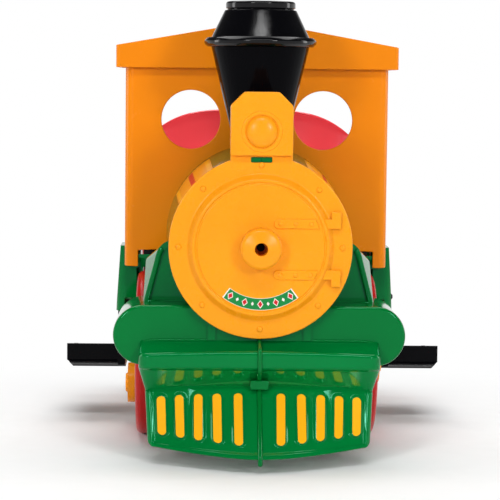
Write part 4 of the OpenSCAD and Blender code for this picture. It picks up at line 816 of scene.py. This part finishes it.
def build_smokebox():
    """The turned door and flange, then the strips, heads and lamp block that stand on them."""
    door = piece("smokebox_door", [(on_front(turned(door_line, DOOR_STEPS)), True)], "orange_front",
                 replaces=["smokebox_front"], sharp=55)
    cut_slot(door)
    neck_outline = softened(rectangle(LAMP_HW, lamp_foot + NECK[0], lamp_foot + NECK[1]), NECK_R)
    neck_block = slab(neck_outline, NECK_BACK, FLANGE_T + NECK_RISE, NECK_EDGE)
    neck = piece("lamp_neck", [(on_front(neck_block), True)], "orange_front")
    cut_slot(neck)
    c, top = LAMP_CHAMFER, lamp_foot + LAMP_H
    lamp = np.array([[-LAMP_HW, lamp_foot], [LAMP_HW, lamp_foot], [LAMP_HW, top - c], [LAMP_HW - c, top],
                     [c - LAMP_HW, top], [-LAMP_HW, top - c]])
    grids = [(slab(softened(lamp, LAMP_R), LAMP_OUT - LAMP_L, LAMP_OUT, LAMP_EDGE), True)]
    r = DOME_R - DOME_IN
    dome = [[r * k, DOME_H * math.sqrt(1 - k * k * DOME_ROUND)] for k in np.linspace(1, 0, DOME_STEPS[0])]
    ring = eased([[DOME_R - 0.6, -HEAD_SINK], [DOME_R, 1.0], [DOME_R + 4, 1.0],
                  [DOME_R + 4.6, -HEAD_SINK]], 1.0)
    for line in ([[r, -HEAD_SINK]] + dome, ring):
        grids.append((moved(turned(line, DOME_STEPS[1]), 0, lamp_foot + DOME_Z, LAMP_OUT), True))
    for z, more in STRAPS:
        low, high = z - STRAP_W / 2, z + STRAP_W / 2
        start, end = STRAP_ENDS
        grids.append((blanket(start, end - HINGE_LAP, low, high, STRAP_T, STRAP_W / 2), False))
        grids.append((blanket(end - HINGE_W, end, low + more[0], high + more[1], HINGE_T), False))
        for x in STRAP_HEAD_X:
            head = turned(button_head(*STRAP_HEAD), HEAD_STEPS)
            grids.append((moved(head, x, z, DOOR_FLAT + STRAP_T), True))
    bolt = turned(eased([[0, 2.2], [2.4, 2.0], [3.6, 0.9], [4.1, -HEAD_SINK]], 1.2), HEAD_STEPS)
    for a in circle(BOLTS):
        grids.append((moved(bolt, BOLT_RING_R * math.cos(a), BOLT_RING_R * math.sin(a), FLANGE_T), True))
    piece("smokebox_fittings", [(on_front(g), w) for g, w in grids], "orange_front")


# Film on the door and the boiler: radii and lifts in millimetres, turns in degrees
BADGE_R = (62.8, 77.6)
BADGE_TURN = (-127.5, -52.5)
BADGE_BORDER = 0.5
BADGE_LIFT = (0.12, 0.2)
BADGE_STEPS = (4, 60)
MARK_R = 70.2
MARK_TURN = (-122, -58)
MARKS = 9
MARK_SLIM = 0.72
MARK_SIZE = (("white", 5.4, 0.26), ("red", 3.9, 0.32))  # colour, half length and lift
SMALL_MARK = 2.6
BOILER_R = (112.0, 121.0)
BOILER_IN = 6.0
PANEL_IN = (14.0, 22.0)
PANEL_TURN = (26, 58)
PANEL_LINES = ((54, 57), (27, 30))
PANEL_STRIPE = (40, 44)
LINE_IN = 4.0
STRIPE_IN = 10.0
PANEL_STEPS = (24, 12)
FILM_LIFT = (0.14, 0.22)


def build_badge():
    """A film badge low on the door: a green arc with a thin edge and plain red and white diamonds."""
    turn = np.radians(np.linspace(*BADGE_TURN, BADGE_STEPS[1]))

    def arc(r0, r1, a, lift):
        """A ring sector on the door."""
        rr, aa = np.meshgrid(np.linspace(r0, r1, BADGE_STEPS[0]), a, indexing="ij")
        return on_front(np.stack([rr * np.cos(aa), rr * np.sin(aa), DOOR_FLAT + lift + 0 * rr], -1))

    low, high = BADGE_R
    sheet_piece("badge_edge", [arc(low, high, turn, BADGE_LIFT[0])], "yellow_trim", DECALS["white"])
    field = arc(low + BADGE_BORDER, high - BADGE_BORDER, turn[1:-1], BADGE_LIFT[1])
    sheet_piece("badge_field", [field], "green_body", DECALS["green"])
    marks = {"white": [], "red": []}
    for k, a in enumerate(np.radians(np.linspace(*MARK_TURN, MARKS))):
        out, side = np.array([math.cos(a), math.sin(a)]), np.array([-math.sin(a), math.cos(a)])
        middle = MARK_R * out
        for colour, size, lift in MARK_SIZE[:1] if k % 2 else MARK_SIZE:
            size = SMALL_MARK if k % 2 else size
            wide = side * size * MARK_SLIM
            grid = np.array([[middle + out * size, middle + wide], [middle - wide, middle - out * size]])
            grid = np.dstack([grid, np.full((2, 2), DOOR_FLAT + lift)])
            marks[colour].append(on_front(grid))
    sheet_piece("badge_white_marks", marks["white"], "yellow_trim", DECALS["white"])
    sheet_piece("badge_red_marks", marks["red"], "red_wheel", DECALS["red"])


def build_boiler_bands():
    """Film panels on the barrel's shoulders: bands of colour on the cone, each a grid of angle and length."""
    y0, y1 = corner("boiler_right")[1] + BOILER_IN, corner("boiler_right", True)[1]
    start, end = y0 + PANEL_IN[0], y1 - PANEL_IN[1]

    def panel(turn, inset, lift):
        """A band on both sides, between two turns up from level and an inset from the panel's ends."""
        a, y = np.meshgrid(np.radians(np.linspace(*turn, PANEL_STEPS[0])),
                           np.linspace(start + inset, end - inset, PANEL_STEPS[1]), indexing="ij")
        r = BOILER_R[0] + (BOILER_R[1] - BOILER_R[0]) * (y - y0) / (y1 - y0) + lift
        return [np.stack([side * r * np.cos(a), y, boiler_z + r * np.sin(a)], -1) for side in (1, -1)]

    low, high = FILM_LIFT
    sheet_piece("boiler_panel_orange", panel(PANEL_TURN, 0, low), "orange_front", DECALS["orange"])
    lines = [grid for turn in PANEL_LINES for grid in panel(turn, LINE_IN, high)]
    sheet_piece("boiler_panel_yellow", lines, "yellow_trim", DECALS["yellow"])
    sheet_piece("boiler_panel_red", panel(PANEL_STRIPE, STRIPE_IN, high), "red_wheel", DECALS["red"])


build_smokebox()
build_badge()
build_boiler_bands()


# Moulded details on nodes that keep their own shape: beads on the saddle, rivets on the tender, cab dials
SADDLE_IN = 56.0
SADDLE_CORNER = (143.75, 193.75)  # x and z
SADDLE_FOOT_X = 88.0
SADDLE_BEND = 6.0
SADDLE_STEPS = 9
SHOULDER = (107.0, 249.5, 21.25)  # x, z and radius
SHOULDER_END = 42
SADDLE_BEAD = (3.6, 2.4)  # half width and height
RIVET = (3.2, 1.7)  # radius and rise
RIVET_STEPS = 20
RIVETS = 10
RIVET_IN = 26.0
RIVET_DROP = 8.0
RIVET_SINK = 0.1
TENDER_TOP = 241.0
CONSOLE_L = 44.0
DIAL_X = 58.0
DIAL_Z = 267.0
DIAL_R = 20.0
DIAL_TURN = (-135, 135)
DIAL_TICKS = 13
DIAL_READINGS = (-40, 65)
DIAL_RING = [[DIAL_R, -0.3], [DIAL_R, 2.0], [DIAL_R - 0.6, 2.8], [DIAL_R - 1.6, 3.0], [DIAL_R - 2.4, 2.4],
             [DIAL_R - 2.8, 0.8], [DIAL_R - 3.2, -0.3]]
DIAL_FACE = [[DIAL_R - 2.6, 0.5], [8, 0.55], [0, 0.55]]
DIAL_HUB = [[0, 1.8], [1.6, 1.7], [2.2, 1.2], [2.3, 0.5]]
LONG_TICK = (12.6, 16.4, 0.6)  # inner and outer radius, and half width
SHORT_TICK = (14.6, 16.4, 0.35)
POINTER = (-3.5, 12.8, 0.7)
TICK_LIFT = 0.72
POINTER_LIFT = 0.95


def saddle_line():
    """Middle line of the rim on one side: out along the foot, up the slope and round the shoulder."""
    x, z, r = SHOULDER
    foot_x, foot_top = SADDLE_CORNER
    dx, dz = x - foot_x, z - foot_top
    length = math.hypot(dx, dz)
    slope = math.atan2(dz, dx) - math.asin(r / length)
    run = math.sqrt(length ** 2 - r ** 2)
    touch = [foot_x + run * math.cos(slope), foot_top + run * math.sin(slope)]
    turn = np.linspace(slope - math.pi / 2, math.radians(SHOULDER_END), SADDLE_STEPS)[1:]
    straight = eased([[SADDLE_FOOT_X, foot_top], [foot_x, foot_top], touch], SADDLE_BEND, SADDLE_STEPS)
    return np.concatenate([straight, np.stack([x + r * np.cos(turn), z + r * np.sin(turn)], -1)])


def build_saddle_beads():
    """An oval bead half sunk in the saddle's rim on each side, closed to a point at its ends."""
    line = saddle_line()
    across = along_and_across(line)[1]
    size = np.ones((len(line), 1))
    size[[0, -1]] = 0.0
    turn = circle(ROUND_STEPS)
    wide = SADDLE_BEAD[0] * size * np.cos(turn)
    high = SADDLE_BEAD[1] * size * np.sin(turn)
    y = corner("cylinder_saddle")[1] + SADDLE_IN
    bead = np.stack([line[:, :1] + across[:, :1] * wide, y - high,
                     line[:, 1:] + across[:, 1:] * wide], axis=-1)
    piece("saddle_beads", [(bead * np.array([side, 1, 1]), True) for side in (-1, 1)], "green_body")


def build_rivets():
    """A row of low round heads along each side of the tender, under its top edge."""
    low, high = corner("tender_body"), corner("tender_body", True)
    head = turned(button_head(*RIVET), RIVET_STEPS)
    grids = []
    for side in (-1, 1):
        for y in np.linspace(low[1] + RIVET_IN, high[1] - RIVET_IN, RIVETS):
            grids.append((np.stack([side * (high[0] + head[..., 2] - RIVET_SINK), y + head[..., 0],
                                    TENDER_TOP - RIVET_DROP + head[..., 1]], axis=-1), True))
    piece("tender_rivets", grids, "green_body")


def build_dials():
    """Two plain dials on the console's rear face: a turned bezel, a white face, ticks and a pointer."""
    y = corner("console")[1] + CONSOLE_L

    def bar(r0, r1, hw, angle, lift):
        """A thin strip between two radii at an angle from upright."""
        a = math.radians(angle)
        out, side = np.array([math.sin(a), math.cos(a)]), np.array([math.cos(a), -math.sin(a)])
        grid = np.array([[out * r + side * s * hw for s in (-1, 1)] for r in (r0, r1)])
        return np.dstack([grid, np.full((2, 2), lift)])

    def placed(points, x):
        """Points drawn about a dial's middle, turned to face the rear."""
        return np.stack([x - points[..., 0], y + points[..., 2], DIAL_Z + points[..., 1]], axis=-1)

    sides = (-DIAL_X, DIAL_X)
    rings, faces, hubs = ([(placed(turned(line, steps), x), True) for x in sides]
                          for line, steps in ((DIAL_RING, 72), (DIAL_FACE, 48), (DIAL_HUB, 24)))
    ticks = [placed(bar(*(SHORT_TICK if k % 3 else LONG_TICK), a, TICK_LIFT), x)
             for x in sides for k, a in enumerate(np.linspace(*DIAL_TURN, DIAL_TICKS))]
    pointers = [placed(bar(*POINTER, reading, POINTER_LIFT), x) for x, reading in zip(sides, DIAL_READINGS)]
    piece("dial_bezels", rings, "yellow_trim")
    piece("dial_faces", faces, "yellow_trim", material=DECALS["white"])
    piece("dial_hubs", hubs, "black_plastic")
    sheet_piece("dial_ticks", ticks, "black_plastic", DECALS["black"])
    sheet_piece("dial_pointers", pointers, "red_wheel", DECALS["red"])


build_saddle_beads()
build_rivets()
build_dials()


# CAD nodes that keep their own shape: merged triangles and rounded edges by modifiers, angles in degrees
EDGE = {"cab_roof": 2.4, "cab_wall": 1.4, "cylinder_saddle": 1.8, "cab_base": 1.8,
        "tender_body": 1.8, "smokestack_cap": 1.0, "smokestack_funnel": 1.0, "console": 3.0,
        "footrest_left": 1.2, "footrest_right": 1.2, "battery": 1.0, "rod_left": 0.9, "rod_right": 0.9,
        "spine_frame": 1.0, "handle_bar": 0.6, "gearbox_inner": 0.7, "gearbox_outer": 0.7}
EDGE_OTHER = 0.4
NO_EDGE = ("output_gear", "idler_gear", "motor_pinion")
WELD = 0.01
FLAT_ANGLE = 0.6
EDGE_ANGLE = 24
EDGE_SEGMENTS = 3
NODE_SHARP = 32


def smooth_group():
    """A node group that shades smooth and keeps edges sharp where two faces meet at a wide angle."""
    group = bpy.data.node_groups.new("smooth_shading", "GeometryNodeTree")
    for way in ("INPUT", "OUTPUT"):
        group.interface.new_socket("Geometry", in_out=way, socket_type="NodeSocketGeometry")
    start, end = group.nodes.new("NodeGroupInput"), group.nodes.new("NodeGroupOutput")
    faces = group.nodes.new("GeometryNodeSetShadeSmooth")
    edges = group.nodes.new("GeometryNodeSetShadeSmooth")
    edges.domain = "EDGE"
    edges.inputs["Shade Smooth"].default_value = False
    angle = group.nodes.new("GeometryNodeInputMeshEdgeAngle")
    wide = group.nodes.new("FunctionNodeCompare")
    wide.operation = "GREATER_THAN"
    wide.inputs[1].default_value = math.radians(NODE_SHARP)
    group.links.new(start.outputs[0], faces.inputs["Geometry"])
    group.links.new(faces.outputs[0], edges.inputs["Geometry"])
    group.links.new(angle.outputs[0], wide.inputs[0])
    group.links.new(wide.outputs[0], edges.inputs["Selection"])
    group.links.new(edges.outputs[0], end.inputs[0])
    return group


SMOOTH = smooth_group()


def finish_node(name, slot):
    """Weld, flat faces joined, edges rounded and smooth shading on a CAD node, and its finish."""
    obj = nodes[name]
    obj.data.materials.clear()
    obj.data.materials.append(OWN_FINISH.get(name, FINISH[slot]))
    weld = obj.modifiers.new("weld", "WELD")
    weld.merge_threshold = WELD * MM
    if name not in NO_EDGE:
        flat = obj.modifiers.new("flat_faces", "DECIMATE")
        flat.decimate_type = "DISSOLVE"
        flat.angle_limit = math.radians(FLAT_ANGLE)
        edge = obj.modifiers.new("edges", "BEVEL")
        edge.width = EDGE.get(name, EDGE_OTHER) * MM
        edge.segments = EDGE_SEGMENTS
        edge.limit_method = "ANGLE"
        edge.angle_limit = math.radians(EDGE_ANGLE)
    smooth = obj.modifiers.new("smooth", "NODES")
    smooth.node_group = SMOOTH
    even = obj.modifiers.new("even_normals", "WEIGHTED_NORMAL")
    even.keep_sharp = True


for part in frame["record"]["subparts"]:
    finish_node(part["node"], part["material_slot"])


# Stage, light and camera
PAPER = ((0.93, 0.94, 0.94, 1), (0.95, 0.96, 0.96, 1))
FADE = (0.31, 0.74)
FADE_MIDDLE = (0, -0.1, 0)
FLOOR_REACH = 7.0
FLOOR_STEPS = 9
ROOM_FADE = (0.06, 0.3)
ROOM_DIM = 0.07
CAMERA = (-0.074, -2.770, 0.4725)
CAMERA_PITCH = 4.72
CAMERA_YAW = 1.353
CAMERA_ROLL = -0.6
LENS = 144.5
SENSOR = 36.0
# Each lamp's name, place, aim, width and height, and watts
LAMPS = (
    ("top_box", (0, 0.75, 2.2), (0, 0, 0.1), (2.2, 1.5), 38),
    ("brow_box", (0, -1.7, 2.3), (0, -0.3, 0.2), (1.7, 0.32), 24),
    ("left_box", (-2.2, -4.2, 1.7), (0, -0.2, 0.3), (0.7, 1.0), 67),
    ("right_box", (2.2, -4.2, 1.7), (0, -0.2, 0.3), (0.7, 1.0), 67),
    ("left_edge", (-2.2, 0.3, 0.9), (0, 0, 0.3), (0.5, 1.4), 12),
    ("right_edge", (2.2, 0.3, 0.9), (0, 0, 0.3), (0.5, 1.4), 12),
)


def seen_rays(tree):
    """1 for the camera's rays and for those that a surface mirrors or lets through, and 0 for the rest."""
    path = tree.nodes.new("ShaderNodeLightPath")
    seen = path.outputs["Is Camera Ray"]
    for name in ("Is Glossy Ray", "Is Transmission Ray"):
        either = tree.nodes.new("ShaderNodeMath")
        either.operation = "MAXIMUM"
        tree.links.new(seen, either.inputs[0])
        tree.links.new(path.outputs[name], either.inputs[1])
        seen = either.outputs[0]
    return seen


def stage_material():
    """White paper that keeps shadows round the object and fades to plain white light away from it."""
    s = Shader("white_sweep")
    s.set(Roughness=0.7, Specular_IOR_Level=0.1)
    s.paint(s.noise(scale=30), *PAPER)
    glow = s.add("ShaderNodeEmission")
    glow.inputs["Strength"].default_value = 1.0
    away = s.add("ShaderNodeVectorMath", operation="DISTANCE")
    s.link(s.place, away.inputs[0])
    away.inputs[1].default_value = FADE_MIDDLE
    far = s.span(away.outputs["Value"], 0, 1, *FADE)
    blend = s.add("ShaderNodeMixShader")
    s.link(s.times(far, seen_rays(s.tree)), blend.inputs[0])
    s.link(s.body.outputs[0], blend.inputs[1])
    s.link(glow.outputs[0], blend.inputs[2])
    s.link(blend.outputs[0], s.out.inputs[0])
    return s.material


def build_stage():
    """A wide flat floor. The room's light near the horizon carries its white on to the background."""
    side = np.linspace(-FLOOR_REACH, FLOOR_REACH, FLOOR_STEPS)
    a, b = np.meshgrid(side, side, indexing="ij")
    points = np.stack([a, b, 0 * a], axis=-1).reshape(-1, 3)
    mesh = bpy.data.meshes.new("floor")
    mesh.from_pydata(points.tolist(), [], grid_faces(FLOOR_STEPS, FLOOR_STEPS, False, 0).tolist())
    mesh.materials.append(stage_material())
    obj = bpy.data.objects.new("floor", mesh)
    bpy.context.scene.collection.objects.link(obj)


def build_room():
    """A dim room for the light, seen and mirrored as white near the horizon and darker overhead."""
    world = bpy.data.worlds.new("room")
    world.use_nodes = True
    tree = world.node_tree
    back = tree.nodes["Background"]
    height = tree.nodes.new("ShaderNodeSeparateXYZ")
    tree.links.new(tree.nodes.new("ShaderNodeTexCoord").outputs["Generated"], height.inputs[0])
    white = tree.nodes.new("ShaderNodeMapRange")
    for socket, value in zip(white.inputs[1:5], (*ROOM_FADE, 1.0, ROOM_DIM)):
        socket.default_value = value
    tree.links.new(height.outputs["Z"], white.inputs[0])
    share = tree.nodes.new("ShaderNodeMix")
    share.inputs[2].default_value = ROOM_DIM
    tree.links.new(seen_rays(tree), share.inputs[0])
    tree.links.new(white.outputs[0], share.inputs[3])
    back.inputs["Color"].default_value = WHITE
    tree.links.new(share.outputs[0], back.inputs["Strength"])
    bpy.context.scene.world = world


def softbox(name, place, aim, size, watts):
    """A rectangular area lamp at a place, turned to its aim."""
    lamp = bpy.data.lights.new(name, "AREA")
    lamp.shape = "RECTANGLE"
    lamp.size, lamp.size_y = size
    lamp.energy = watts
    obj = bpy.data.objects.new(name, lamp)
    obj.location = place
    x, y, z = np.array(aim) - np.array(place)
    obj.rotation_euler = (math.atan2(math.hypot(x, y), -z), 0, math.atan2(-x, y))
    bpy.context.scene.collection.objects.link(obj)


def build_camera():
    """The photograph's view: a long lens from in front, a little above and to the left of the middle."""
    camera = bpy.data.objects.new("camera", bpy.data.cameras.new("camera"))
    camera.data.lens = LENS
    camera.data.sensor_width = SENSOR
    camera.location = CAMERA
    camera.rotation_euler = [math.radians(a) for a in (90 - CAMERA_PITCH, CAMERA_ROLL, -CAMERA_YAW)]
    bpy.context.scene.collection.objects.link(camera)
    bpy.context.scene.camera = camera


build_stage()
build_room()
for lamp in LAMPS:
    softbox(*lamp)
build_camera()
bpy.context.scene.view_settings.view_transform = "Standard"
